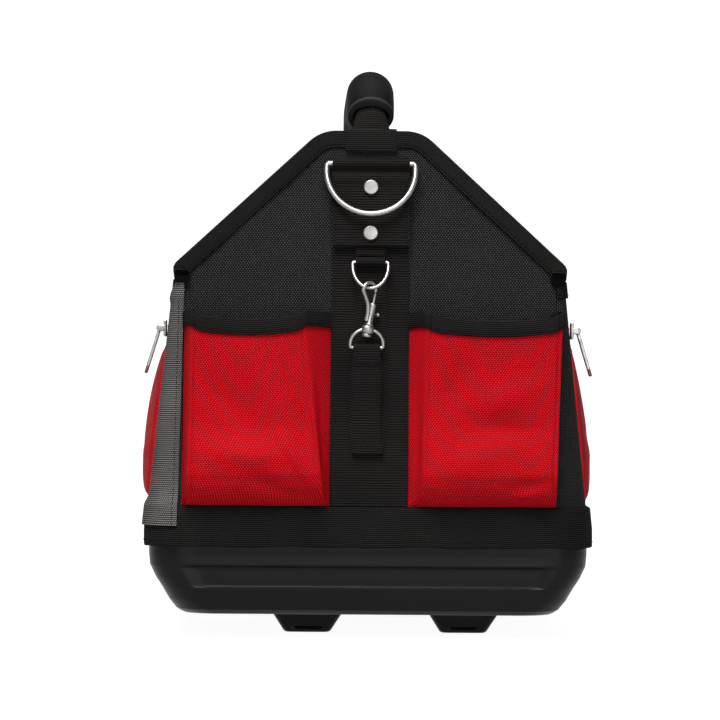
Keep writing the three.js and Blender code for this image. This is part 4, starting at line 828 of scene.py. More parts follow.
def make_band():
    """Folded band round the foot of the cloth, sewn along its lower edge, which waves a little."""
    stations = plan_stations(12, 80, 60)
    out = GAP + BAND_THICKNESS
    corners = [(GAP, BAND_FOOT_Z), (out, BAND_FOOT_Z), (out, BAND_TOP_Z), (GAP, BAND_TOP_Z)]
    section = rounded_section(corners, [0.4, 1.1, 1.1, 0.4], 3)
    extra = [(out, z) for z in np.linspace(BAND_FOOT_Z + 2.2, BAND_TOP_Z - 2.5, 7)]
    split = 8
    section = np.concatenate([section[:split], extra, section[split:]])
    total = len(stations)
    rings, seam, seam_normals = [], [], []
    for k, station in enumerate(stations):
        turn = 2 * math.pi * k / total
        wave = 0.35 * math.sin(17 * turn + 1) + 0.3 * math.sin(31 * turn) + 0.15 * math.sin(73 * turn)
        ring = []
        for offset, z in section:
            rise = (z - BAND_FOOT_Z) / (BAND_TOP_Z - BAND_FOOT_Z)
            low = (1 - rise) ** 2
            dent = -0.28 * float(bump(z, BAND_SEAM_Z, 0.9)) if offset > out - 0.3 else 0
            push = offset + dent + (0.25 * wave * (1 - rise) if offset > 1.5 else 0)
            x, y = plan_place(station, *plan_at(z), push)
            ring.append((x, y, z + 0.9 * wave * low))
        rings.append(ring)
        x, y = plan_place(station, *plan_at(BAND_SEAM_Z), out + 0.22 * wave - 0.2)
        seam.append((x, y, BAND_SEAM_Z + 0.7 * wave))
        seam_normals.append((math.cos(station[1]), math.sin(station[1]), 0))
    settle(loft_piece("band", rings, BINDING, looped=True, turned=True), "bottom_band")
    seam.append(seam[0])
    seam_normals.append(seam_normals[0])
    settle(stitches("band_stitches", [(seam, seam_normals)], BLACK_THREAD, 3.6, 2.5, 0.3))


WALL_ALONG = np.concatenate([
    np.linspace(0, 1, 13), np.linspace(1, 2, 71)[1:-1], np.linspace(2, 3, 13),
])


def make_walls():
    heights = np.linspace(WALL_FOOT_Z, WALL_TOP_Z, 36)
    along, z = np.meshgrid(WALL_ALONG, heights, indexing="ij")
    for name, side in SIDES.items():
        front = wall_points(along, z, 0, side)
        back = wall_points(along, z, -WALL, side)
        wall = settle(sheet_piece(f"{name}_side_wall", front, back, BLACK_CLOTH), f"{name}_wall")
        make_side_binding(name, side)


def make_side_binding(name, side):
    top, foot = SIDE_BINDING_TOP_Z, SIDE_BINDING_TOP_Z - BINDING_WIDTH
    out, back = BINDING_OUT, -WALL - BINDING_OUT
    outline = folded_outline(WALL, out, foot, top, top - BINDING_PLY + 0.1, 0.5, 1.4)
    rings = [wall_points(a, outline[:, 1], outline[:, 0], side) for a in WALL_ALONG]
    settle(loft_piece(f"{name}_wall_binding", rings, BINDING, turned=True), f"{name}_edge_binding")
    rows = []
    for offset, outward in ((out, 1), (back, -1)):
        line = wall_points(WALL_ALONG, foot + 2.2, offset, side)
        beyond = wall_points(WALL_ALONG, foot + 2.2, offset + 1, side)
        rows.append((line, (beyond - line) * outward))
    settle(stitches(f"{name}_wall_binding_stitches", rows, BLACK_THREAD))


def corner_points(length, z, offset, side, end):
    """A point off the wall at a length along it, from where the corner's arc leaves the end."""
    half_width, half_length, radius = [float(v) for v in plan_at(z)]
    quarter = radius * math.pi / 2
    if length > quarter:
        return side_points(end * (half_length - radius - (length - quarter)), z, offset, side)
    angle = max(length, 0) / radius
    x = half_width - radius + (radius + offset) * math.sin(angle) + min(length, 0)
    y = half_length - radius + (radius + offset) * math.cos(angle)
    return np.array([side * x, end * y, z])


WEBBING_STARTS = (2.6, -0.6)


def make_corner_webbings():
    """Wide grey webbing sewn round both corners of the left side, over the band and the binding."""
    over_band, over_binding = GAP + BAND_THICKNESS + GAP, BINDING_OUT + GAP
    foot, top = BAND_TOP_Z - 13, SIDE_BINDING_TOP_Z
    binding_foot = top - BINDING_WIDTH
    rows = [(foot, over_band), (BAND_TOP_Z + GAP, over_band), (BAND_TOP_Z + 7, GAP),
            (binding_foot - 6, GAP), (binding_foot - GAP, over_binding), (top, over_binding)]
    heights = np.concatenate([
        np.linspace(foot, BAND_TOP_Z + GAP, 6), np.linspace(BAND_TOP_Z + 1.5, BAND_TOP_Z + 8, 6),
        np.linspace(BAND_TOP_Z + 14, binding_foot - 9, 20), np.linspace(binding_foot - 6, top, 9),
    ])
    thickness, width = 1.2, 46
    lowered = (binding_foot - 4 - foot) / (top - foot)

    def slanted(z, share):
        return foot + (z - foot) * lerp(1, lowered, float(smooth_step(0.02, 0.27, share)))

    rows_z, rows_out = zip(*rows)
    for name, end in {"front": -1, "back": 1}.items():
        front, back = [], []
        for z in heights:
            rise = (z - foot) / (top - foot)
            start = lerp(*WEBBING_STARTS, rise)
            across = np.linspace(0, 1, 31)
            front_row, back_row = [], []
            for share in across:
                edge = 0.35 * thickness * (1 if 0.02 < share < 0.98 else 0)
                length = start + width * share
                level = slanted(z, share)
                offset = float(np.interp(level, rows_z, rows_out))
                front_row.append(corner_points(length, level, offset + thickness * 0.65 + edge, LEFT, end))
                back_row.append(corner_points(length, level, offset, LEFT, end))
            front.append(front_row)
            back.append(back_row)
        piece = sheet_piece(f"{name}_corner_strap", np.array(front), np.array(back), WEB_GREY)
        settle(piece, f"{name}_corner_webbing")
        rows_of_stitches = []
        for share in (0.06, 0.94):
            line, beyond = [], []
            for z in heights[:-6]:
                level = slanted(z, share)
                offset = float(np.interp(level, rows_z, rows_out)) + thickness
                length = lerp(*WEBBING_STARTS, (z - foot) / (top - foot)) + width * share
                line.append(corner_points(length, level, offset, LEFT, end))
                beyond.append(corner_points(length, level, offset + 1, LEFT, end))
            rows_of_stitches.append((np.array(line), np.array(beyond) - np.array(line)))
        settle(stitches(f"{name}_corner_strap_stitches", rows_of_stitches, BLACK_THREAD, radius=0.22))


# Panels and their bindings

PANEL_CORNERS = [
    (PANEL_HALF_WIDTH, GAP),
    (PANEL_HALF_WIDTH, SHOULDER_HEIGHT),
    (PANEL_TOP_HALF_WIDTH, PANEL_HEIGHT),
    (-PANEL_TOP_HALF_WIDTH, PANEL_HEIGHT),
    (-PANEL_HALF_WIDTH, SHOULDER_HEIGHT),
    (-PANEL_HALF_WIDTH, GAP),
]
PANEL_RADII = [0, PANEL_SHOULDER_RADIUS, PANEL_TOP_RADIUS, PANEL_TOP_RADIUS, PANEL_SHOULDER_RADIUS, 0]
PANEL_OUTLINE = arc_corner(PANEL_CORNERS, PANEL_RADII, 12)


def panel_ripple(x, h):
    """Slow waves of the end cloth, still under the webbing and along the edges."""
    edge = smooth_step(26, 60, np.abs(x)) * (1 - smooth_step(95, 118, np.abs(x)))
    rise = smooth_step(20, 60, h) * (1 - smooth_step(215, 245, h))
    waves = 0.5 * np.sin(x * 0.055 + h * 0.03) + 0.35 * np.sin(x * 0.11 - h * 0.05 + 1.3)
    return edge * rise * (waves - 0.6)


def make_panel(name, end):
    right = PANEL_OUTLINE[: len(PANEL_OUTLINE) // 2]
    heights = np.unique(np.concatenate([
        np.linspace(GAP, SHOULDER_HEIGHT - 15, 40), np.linspace(SHOULDER_HEIGHT - 15, PANEL_HEIGHT, 44),
    ]))
    half = np.interp(heights, right[:, 1], right[:, 0])
    share = np.linspace(-1, 1, 61)
    x = half[:, None] * share[None, :]
    h = np.broadcast_to(heights[:, None], x.shape)
    out = panel_ripple(x, h)
    front = face_points(x, h, out, end)
    back = face_points(x, h, out - WALL, end)
    cut = np.stack([x, h], axis=-1)
    panel = settle(sheet_piece(f"{name}_end_panel", front, back, BLACK_CLOTH, cut=cut), f"{name}_panel")


EAR_OUT = 6.2
EAR_RADIUS = 5
EAR_LAP = 3.6
BINDING_SLOPE = (PANEL_HEIGHT - SHOULDER_HEIGHT) / (PANEL_HALF_WIDTH - PANEL_TOP_HALF_WIDTH)


def panel_binding_line():
    """The binding's fold line. Its lower ends run on down the slope, a little past the panel's sides."""
    ear = PANEL_HALF_WIDTH + EAR_OUT
    corners = [(ear - 1, PANEL_BINDING_FOOT), (ear, SHOULDER_HEIGHT - EAR_OUT * BINDING_SLOPE),
               (PANEL_TOP_HALF_WIDTH, PANEL_HEIGHT)]
    corners += [(-x, h) for x, h in corners[::-1]]
    radii = [0, EAR_RADIUS, PANEL_TOP_RADIUS, PANEL_TOP_RADIUS, EAR_RADIUS, 0]
    return resampled(arc_corner(corners, radii, 12), 150)


def make_panel_binding(name, end):
    """Binding folded over the panel's sloping edges and top."""
    line = panel_binding_line()
    along = np.gradient(line, axis=0)
    along /= np.linalg.norm(along, axis=1, keepdims=True)
    inward = np.stack([-along[:, 1], along[:, 0]], axis=1)
    tip = BINDING_WIDTH - BINDING_RIM
    out, back = BINDING_OUT, -WALL - BINDING_OUT
    outline = folded_outline(WALL, out, tip, -BINDING_RIM, -GAP, 0.5, 1.3)
    rings = []
    for place, side in zip(line, inward):
        flat = place + side * outline[:, 1:]
        rings.append(face_points(flat[:, 0], flat[:, 1], outline[:, 0], end))
    parts = [lofted(rings, turned=True)]
    for hand in (-1, 1):
        lift = BINDING_OUT + (2 * GAP + 1.2 if hand * end == LEFT else GAP)
        inner, outer = PANEL_HALF_WIDTH - 3.5, PANEL_HALF_WIDTH + EAR_OUT - 0.2
        x0, x1 = sorted((hand * inner, hand * outer))
        high = (x1, PANEL_BINDING_FOOT + 5, lift + 1)
        for rise, out_from in ((0.4, BINDING_OUT - 0.4), (-EAR_LAP, lift)):
            block = rounded_block((x0, PANEL_BINDING_FOOT + rise, out_from), high, 0.45, corner=1.6)
            parts.append(moved(block, face_matrix(end)))
    settle(add_mesh(f"{name}_panel_binding", *joined(parts), BINDING), f"{name}_edge_binding")
    seam = line + inward * (tip - 2)
    rows = [face_seam(*seam.T, level, end, facing) for level, facing in ((out, 1), (back, -1))]
    settle(stitches(f"{name}_panel_binding_stitches", rows, BLACK_THREAD))


def ribbon(path, width, thickness, end, columns=9, shares=None):
    """Rings of a strap along (x, out, h) rows on a face, with softly thinned edges."""
    path = np.asarray(path, float)
    along = np.gradient(path[:, 1:], axis=0)
    along /= np.linalg.norm(along, axis=1, keepdims=True)
    shares = np.ones(len(path)) if shares is None else np.asarray(shares, float)
    across = np.linspace(-1, 1, columns)
    edge = 1 - 0.35 * smooth_step(0.9, 1, np.abs(across))
    section = [*zip(across, edge), *zip(across[::-1], -edge[::-1])]
    rings = []
    for (x, out, h), (d_out, d_h), share in zip(path, along, shares):
        ring = np.array([
            (x + a * width / 2 * share, h + e * thickness / 2 * d_out, out - e * thickness / 2 * d_h)
            for a, e in section
        ])
        rings.append(face_points(*ring.T, end))
    return np.array(rings)


def strap_piece(name, path, width, thickness, material, end, shares=None, columns=9):
    rings = ribbon(path, width, thickness, end, columns, shares)
    return loft_piece(name, rings, material, strip=True)


def make_top_tab(name, end):
    front = BINDING_OUT + GAP + 0.5
    top = PANEL_HEIGHT + BINDING_RIM + GAP + 0.5
    corners = [(front, PANEL_HEIGHT - TAB_DROP), (front, top), (-WALL, top)]
    line = resampled(rounded_section(corners, [0, 1.6, 0], 6, closed=False), 24)
    path = [(0, out, h) for out, h in line]
    settle(strap_piece(f"{name}_tab", path, TAB_WIDTH, 1, BINDING, end), f"{name}_top_tab")
    edge = TAB_WIDTH / 2 - 1.8
    foot, high = PANEL_HEIGHT - TAB_DROP + 1.8, top - 2.5
    sides = [((-edge, foot), (edge, foot)), ((edge, foot), (edge, high)), ((-edge, foot), (-edge, high))]
    rows = straight_seams(sides, front + 0.5, end)
    settle(stitches(f"{name}_tab_stitches", rows, BLACK_THREAD, 2.8, 2.0, 0.24))


def make_center_webbing(name, end):
    heights = np.linspace(FACE_BOTTOM, PATCH_FOOT + 2.1, 40)
    path = [(0, GAP + WEBBING / 2, h) for h in heights]
    piece = strap_piece(f"{name}_wide_webbing", path, WEBBING_WIDTH, WEBBING, WEB_BLACK, end, columns=21)
    settle(piece, f"{name}_center_webbing")
    edge = WEBBING_WIDTH / 2 - 1.7
    rows = [face_seam(hand * edge, heights, GAP + WEBBING, end) for hand in (-1, 1)]
    settle(stitches(f"{name}_wide_webbing_stitches", rows, BLACK_THREAD, radius=0.22))


def patch_path(end):
    """The patch's middle line: up behind the ring's bar, over it and down in front."""
    back_out = GAP + WEBBING / 2
    loop = D_WIRE + GAP + WEBBING / 2
    front = PATCH_OUT[end] + WEBBING / 2
    turn = [
        (D_BAR_OUT + loop * math.cos(a), D_BAR_HEIGHT + loop * math.sin(a))
        for a in np.linspace(math.pi, -0.85, 20)
    ]
    tucked = front - 2.2
    below = spline([turn[-1], (tucked, D_BAR_HEIGHT - 4.8), (tucked + 0.5, D_BAR_HEIGHT - 6.4),
                    (front, D_BAR_HEIGHT - 8.8), (front, D_BAR_HEIGHT - 14)], 22)[1:]
    down = [(front, h) for h in np.linspace(D_BAR_HEIGHT - 16, PATCH_FOOT, 20)]
    back = [(back_out, h) for h in np.linspace(PATCH_FOOT + 2.4, D_BAR_HEIGHT - 3, 14)]
    return np.array([(0, out, h) for out, h in [*back, *turn, *below, *down]])


def make_patch(name, end):
    size = (WEBBING_WIDTH, WEBBING)
    piece = strap_piece(f"{name}_patch", patch_path(end), *size, WEB_BLACK, end, columns=21)
    settle(piece, f"{name}_ring_patch")
    front = PATCH_OUT[end] + WEBBING
    edge, low, high = WEBBING_WIDTH / 2 - 2, PATCH_FOOT + 2, D_BAR_HEIGHT - 10.5
    box = [((-edge, low), (edge, low)), ((edge, low), (edge, high)), ((-edge, low), (-edge, high)),
           ((-edge, high), (edge, high)), ((-edge, high - 1.8), (edge, high - 1.8))]
    rows = straight_seams(box, front, end)
    settle(stitches(f"{name}_patch_stitches", rows, BLACK_THREAD, 2.6, 1.9, 0.26))


# Rings, rivets and the snap

def bow_path(half_width, drop, corner, steps):
    """The line of a D-shaped ring in the XY plane: a straight bar at y = 0 and a bow below it."""
    bar = half_width - corner
    straight = np.array([[x, 0.0] for x in np.linspace(-bar, bar, 16)])
    corners = [(bar, 0), (half_width, 0), (half_width, -corner)]
    turn = rounded_section(corners, [0, corner, 0], 8, closed=False)
    angles = np.linspace(0, math.pi, steps)[1:-1]
    bow = np.stack([half_width * np.cos(angles), -corner - (drop - corner) * np.sin(angles)], axis=1)
    line = np.concatenate([straight, turn[1:], bow, (turn * [-1, 1])[::-1][:-1]])
    keep = np.concatenate([[True], np.linalg.norm(np.diff(line, axis=0), axis=1) > 1e-4])
    line = line[keep]
    closed = resampled(np.concatenate([line, line[:1]]), steps * 2 + 1)[:-1]
    return np.concatenate([closed, np.zeros((len(closed), 1))], axis=1)


def ring_piece(name, path, wire, matrix, node, body):
    part = moved(lofted(tube_rings(path, wire, 20, looped=True), looped=True), matrix)
    settle(add_mesh(name, *part, NICKEL, 80), node, body=body)


def d_ring_tilt():
    clear = PATCH_OUT[FRONT] + WEBBING + 2 * GAP + D_WIRE
    share = min(WEBBING_WIDTH / 2 / D_HALF_WIDTH, 0.95)
    crossing = 3.4 + (D_DROP - 3.4) * math.sqrt(1 - share * share)
    return math.asin((clear - D_BAR_OUT) / crossing)


def make_d_ring(name, end):
    matrix = (
        face_matrix(end)
        @ Matrix.Translation((0, D_BAR_HEIGHT, D_BAR_OUT))
        @ Matrix.Rotation(-d_ring_tilt(), 4, "X")
    )
    path = bow_path(D_HALF_WIDTH, D_DROP, D_CORNER, 60)
    ring_piece(f"{name}_dee", path, D_WIRE, matrix, f"{name}_d_ring", f"{name}_ring")


def make_rivets(name, end):
    """Rivets with a flat head, a rounded rim and a shallow dished ring."""
    inside = LEG_OUT - 3 - GAP
    outside = PATCH_OUT[end] + WEBBING + GAP
    tail = [(0.01, -1.7), (3.4, -1.7), (4.4, -1.3), (4.8, -0.5), (4.7, 0), (2.3, 0)]
    head = [(2.3, 0), (4.9, 0), (5, 0.3), (4.85, 0.7), (4.5, 1.6), (4.3, 1.76), (4.1, 1.8), (0.01, 1.8)]
    profile = [(r, inside + h) for r, h in tail] + [(r, outside + h) for r, h in head]
    for level, height in RIVET_HEIGHTS.items():
        matrix = face_matrix(end) @ Matrix.Translation((0, height, 0))
        part = moved(lofted(lathe_rings(profile, 40)), matrix)
        settle(add_mesh(f"{name}_{level}_stud", *part, NICKEL, 35), f"{name}_{level}_rivet")


SMALL_BAR_HEIGHT = D_BAR_HEIGHT - 64.2
SMALL_WIRE = 1.1
SMALL_BAR_OUT = LOOP_STUB_OUT + SMALL_WIRE + GAP + LOOP_PLY
SMALL_DROP = 19.2
SMALL_HALF_WIDTH = 11.5
SMALL_CORNER = 2.6
SMALL_TILT = math.radians(25)
SNAP_TILT = math.radians(-11.2)
SNAP_TWIST = math.radians(42)
SNAP_LENGTH = 27
SNAP_THROAT = 10.8
SNAP_HOLD = 3.3
BARREL_HEIGHT = 14.5
KNOB_HEIGHT = BARREL_HEIGHT * 0.54
COLLAR_HEIGHT = 4.7
EYE_WIRE = 1.05
EYE_HALF_WIDTH = 10.6
EYE_CORNER = 2.4
EYE_BAR_DROP = 14.3
EYE_SHIFT = -1.2

# Where the narrow tape's fold, front ply and back ply lie off the middle.
STRAP_SHIFTS = (-0.9, -2.7, 0.9)


def snap_matrices():
    """Places of the snap in the frame: hanging plumb, tilted, and turned about its own length."""
    lean = Matrix.Rotation(END_LEAN, 4, "X")
    tilt = Matrix.Rotation(SNAP_TILT, 4, "Z")
    twist = Matrix.Rotation(SNAP_TWIST, 4, "Y")
    held = lean @ tilt @ twist @ Vector((-SNAP_THROAT * 0.46, SNAP_LENGTH - SNAP_HOLD, 0))
    foot = Vector((
        0,
        SMALL_BAR_HEIGHT - SMALL_DROP * math.cos(SMALL_TILT),
        SMALL_BAR_OUT + SMALL_DROP * math.sin(SMALL_TILT),
    ))
    plumb = face_matrix(FRONT) @ Matrix.Translation(foot - held) @ lean
    return plumb, plumb @ tilt, plumb @ tilt @ twist


def make_small_ring():
    matrix = (
        face_matrix(FRONT)
        @ Matrix.Translation((0, SMALL_BAR_HEIGHT, SMALL_BAR_OUT))
        @ Matrix.Rotation(-SMALL_TILT, 4, "X")
    )
    path = bow_path(SMALL_HALF_WIDTH, SMALL_DROP, SMALL_CORNER, 48)
    ring_piece("small_dee", path, SMALL_WIRE, matrix, "small_ring", "tote")
    loop = SMALL_WIRE + GAP + LOOP_PLY / 2
    turn = [
        (SMALL_BAR_OUT + loop * math.cos(a), SMALL_BAR_HEIGHT + loop * math.sin(a))
        for a in np.linspace(math.radians(160), math.radians(400), 26)
    ]
    stub = LOOP_STUB_OUT + LOOP_PLY / 2
    down = [(stub, h) for h in np.linspace(COVERED_TOP, SMALL_BAR_HEIGHT + loop * 1.4, 8)]
    back_up = spline([turn[-1], (stub + 0.9, SMALL_BAR_HEIGHT + loop * 1.5),
                      (stub + LOOP_PLY + 0.1, SMALL_BAR_HEIGHT + loop * 2.1)], 6)[1:]
    path = np.array([(0, out, h) for out, h in [*down, *turn, *back_up]])
    settle(strap_piece("small_loop", path, 19.2, LOOP_PLY * 0.8, WEB_BLACK, FRONT), "small_ring_loop")


def lathe_y(profile, sides=28):
    """A turned part about Y, from (radius, height) rows."""
    return moved(lofted(lathe_rings(profile, sides)), Matrix.Rotation(-math.pi / 2, 4, "X"))


def make_snap():
    plumb, tilted, twisted = snap_matrices()
    length, throat = SNAP_LENGTH, SNAP_THROAT
    bend = [
        (-0.26 * throat, 0.1 * length), (-0.28 * throat, 0.31 * length), (-0.42 * throat, 0.5 * length),
        (-0.74 * throat, 0.67 * length), (-throat, 0.81 * length), (-0.89 * throat, 0.945 * length),
        (-0.6 * throat, length), (-0.28 * throat, 0.985 * length), (-0.05 * throat, 0.905 * length),
        (0, 0.8 * length),
    ]
    path = np.concatenate([spline(bend, 64), np.zeros((64, 1))], axis=1)
    radii = np.interp(np.linspace(0, 1, 64), [0, 0.1, 0.3, 0.8, 0.95, 1], [1.5, 1.35, 1.2, 1.1, 1.05, 0.7])
    stem = -COLLAR_HEIGHT - 0.6
    mouth = [(1.5, 0), (1.75, 0), (2.15, -0.4), (2.3, -1)]
    barrel = [(0.02, 1.6), (1.5, 1.6)] + [(r, BARREL_HEIGHT + h) for r, h in mouth]
    barrel += [(2.3, 1.6), (2.6, 1.2), (2.95, 0.8), (2.9, 0.2), (2.5, 0), (0.02, 0)]
    button = [(0.02, 0.3), (1.6, 0.3), (1.6, stem), (2.7, stem - 0.1), (3.1, stem - 0.6), (3.1, stem - 1.6),
              (2.6, stem - 2.2), (0.02, stem - 2.3)]
    hook = joined([lathe_y(barrel), lathe_y(button), lofted(tube_rings(path, radii, 16))])
    settle(add_mesh("snap_body", *moved(hook, twisted), NICKEL, 45), "snap_hook")
    top, bottom = 0.8 * length - GAP, 1.7 + 4 + GAP
    rod = [(0.02, bottom), (1.2, bottom), (1.2, BARREL_HEIGHT - 0.5), (0.95, BARREL_HEIGHT + 1),
           (0.85, top - 0.4), (0.6, top), (0.02, top)]
    stem_path = [(x, KNOB_HEIGHT, 0) for x in np.linspace(0, 5.4, 6)]
    knob = [(0.02, -1.35), (0.7, -1.2), (1.2, -0.7), (1.38, 0), (1.2, 0.7), (0.7, 1.2), (0.02, 1.35)]
    knob_matrix = Matrix.Translation((6, KNOB_HEIGHT, 0)) @ Matrix.Rotation(math.pi / 2, 4, "Y")
    knob_part = moved(lofted(lathe_rings(knob, 20)), knob_matrix)
    plunger = joined([lathe_y(rod, 20), lofted(tube_rings(stem_path, 0.5, 12)), knob_part])
    settle(add_mesh("snap_plunger_rod", *moved(plunger, twisted), NICKEL, 45), "snap_plunger", body="plunger")
    collar = [(1.9, 0), (3.4, 0), (3.9, -0.5), (3.95, -2.3), (3.9, -4.2)]
    collar += [(3.4, -COLLAR_HEIGHT), (1.9, -COLLAR_HEIGHT)]
    collar_matrix = tilted @ Matrix.Translation((0, -GAP, 0)) @ Matrix.Rotation(-math.pi / 2, 4, "X")
    collar_part = moved(lofted(lathe_rings(collar, 32), looped=True), collar_matrix)
    eye = bow_path(EYE_HALF_WIDTH, EYE_BAR_DROP - COLLAR_HEIGHT / 2, EYE_CORNER, 48)
    eye_matrix = plumb @ Matrix.Translation((EYE_SHIFT, -EYE_BAR_DROP, 0)) @ Matrix.Rotation(math.pi, 4, "Z")
    wire = moved(lofted(tube_rings(eye, EYE_WIRE, 16, looped=True), looped=True), eye_matrix)
    settle(add_mesh("snap_swivel_eye", *joined([collar_part, wire]), NICKEL, 45), "snap_eye")
    return plumb


def make_tape_strap(plumb):
    """Narrow tape: down behind, folded below, up in front, round the snap's eye and sewn to itself."""
    local = face_matrix(FRONT).inverted() @ (plumb @ Vector((EYE_SHIFT, -EYE_BAR_DROP, 0)))
    bar_x, bar_h, bar_out = local
    back_out = TAPE_OUT + TAPE / 2
    fold_h = FACE_BOTTOM + 34.5
    front_out = bar_out - (bar_h - fold_h) * math.tan(END_LEAN)
    radius = max((front_out - back_out) / 2, TAPE)
    middle = back_out + radius
    fold_x, front_x, back_x = STRAP_SHIFTS
    loop = EYE_WIRE + GAP + TAPE / 2
    plies = (TAPE + GAP) / 2
    narrow = (2 * (EYE_HALF_WIDTH - 1.8) - GAP) / TAPE_WIDTH
    rows = [(back_x, back_out, h, 1) for h in np.linspace(COVERED_TOP, fold_h + 12, 26)]
    rows += [(lerp(back_x, fold_x, t), back_out, lerp(fold_h + 12, fold_h, t), 1) for t in (0.35, 0.7)]
    rows += [
        (fold_x, middle + radius * math.cos(a), fold_h + radius * math.sin(a), 1)
        for a in np.linspace(math.pi, 2 * math.pi, 14)
    ]
    rise = spline([
        (fold_x, middle + radius, fold_h), (front_x, middle + radius + 0.8, fold_h + 12),
        (front_x, lerp(middle + radius + 0.6, bar_out + plies, 0.5), lerp(fold_h + 12, bar_h - 7, 0.5)),
        (bar_x, bar_out + plies, bar_h - 7),
    ], 34)[1:]
    rows += [(*p, lerp(1, narrow, float(smooth_step(bar_h - 16, bar_h - 6, p[2])))) for p in rise]
    rows += [
        (bar_x, bar_out + loop * math.cos(a), bar_h + loop * math.sin(a), narrow)
        for a in np.linspace(math.radians(-10), math.radians(190), 16)
    ]
    rows += [(bar_x, bar_out - plies, bar_h - 6.5, lerp(1, narrow, 0.7)),
             (bar_x, bar_out - plies - 0.2, bar_h - 10, lerp(1, narrow, 0.2)),
             (bar_x, bar_out - plies - 0.5, bar_h - 13, 1)]
    path = np.array([r[:3] for r in rows])
    shares = [r[3] for r in rows]
    strap = strap_piece("strap", path, TAPE_WIDTH, TAPE * 0.95, WEB_BLACK, FRONT, shares)
    settle(strap, "tape_strap")
    line = np.linspace(-TAPE_WIDTH / 2 + 1.4, TAPE_WIDTH / 2 - 1.4, 12)
    out = bar_out + plies + TAPE / 2 + 0.1
    seams = [face_seam(bar_x + line, bar_h - drop, out, FRONT) for drop in (9.3, 11.1)]
    settle(stitches("strap_stitches", seams, BLACK_THREAD, 2.2, 1.7, 0.25))


# End pockets

POCKET_HEIGHT = 124.4
POCKET_DEPTH = 16
POCKET_SHEET = 1.8
POCKET_PLY = 1.1
POCKET_BINDING_HEIGHT = 9.5
WEB_EDGE = WEBBING_WIDTH / 2 + GAP
POCKET_SPAN = PANEL_HALF_WIDTH - WEB_EDGE
POCKET_DEPTHS = np.array([
    # share of height, share of depth
    (0, 0.12), (0.02, 0.4), (0.05, 0.66), (0.1, 0.88), (0.16, 1),
    (0.28, 0.92), (0.42, 0.8), (0.6, 0.8), (0.75, 0.86), (1, 1),
])
POCKETS = {
    "left": dict(side=-1, seam=(1.004, 0.993), outer=(0.966, 0.948), inner=(0.039, 0.187)),
    "right": dict(side=1, seam=(1.004, 0.99), outer=(1.0, 1.045), inner=(0.092, 0.12)),
}
# Folds pressed into the pockets' faces: from and to as shares across and up, width in shares, and
# how far the cloth stands out there.
POCKET_FOLDS = {
    "left": [
        dict(start=(0.0, 0.02), stop=(0.28, 0.38), width=0.05, rise=4.4),
        dict(start=(0.0, 0.24), stop=(0.13, 0.52), width=0.055, rise=-3.6),
        dict(start=(0.22, 0.25), stop=(0.9, 0.27), width=0.1, rise=4.2),
        dict(start=(0.12, 0.02), stop=(0.5, 0.14), width=0.06, rise=-2.6),
        dict(start=(0.2, 0.45), stop=(0.6, 0.9), width=0.13, rise=1.8),
        dict(start=(0.45, 0.42), stop=(0.95, 0.7), width=0.1, rise=-1.8),
    ],
    "right": [
        dict(start=(0.42, 0.56), stop=(0.92, 0.64), width=0.1, rise=2.6),
        dict(start=(0.34, 0.44), stop=(0.88, 0.4), width=0.08, rise=-2.4),
        dict(start=(0.66, 0.035), stop=(0.98, 0.07), width=0.035, rise=2.2),
        dict(start=(0.62, 0.1), stop=(0.98, 0.13), width=0.04, rise=-2),
        dict(start=(0.08, 0.2), stop=(0.55, 0.28), width=0.12, rise=2.6),
        dict(start=(0.1, 0.5), stop=(0.35, 0.8), width=0.1, rise=-1.8),
    ],
}
FACE_COLUMNS = 92
SIDE_COLUMNS = 14
TURN_COLUMNS = 6


def fold_height(folds, across, up):
    """Sum of the pressed folds at a place on a pocket's face."""
    total = 0.0
    for fold in folds:
        a, b = np.array(fold["start"]), np.array(fold["stop"])
        step = b - a
        t = np.clip(((across - a[0]) * step[0] + (up - a[1]) * step[1]) / (step @ step), 0, 1)
        distance = np.hypot(across - a[0] - t * step[0], (up - a[1] - t * step[1]) * 1.3)
        ends = np.sin(math.pi * np.clip(t, 0.04, 0.96)) ** 0.5
        total = total + fold["rise"] * ends * np.exp(-((distance / fold["width"]) ** 2))
    return total


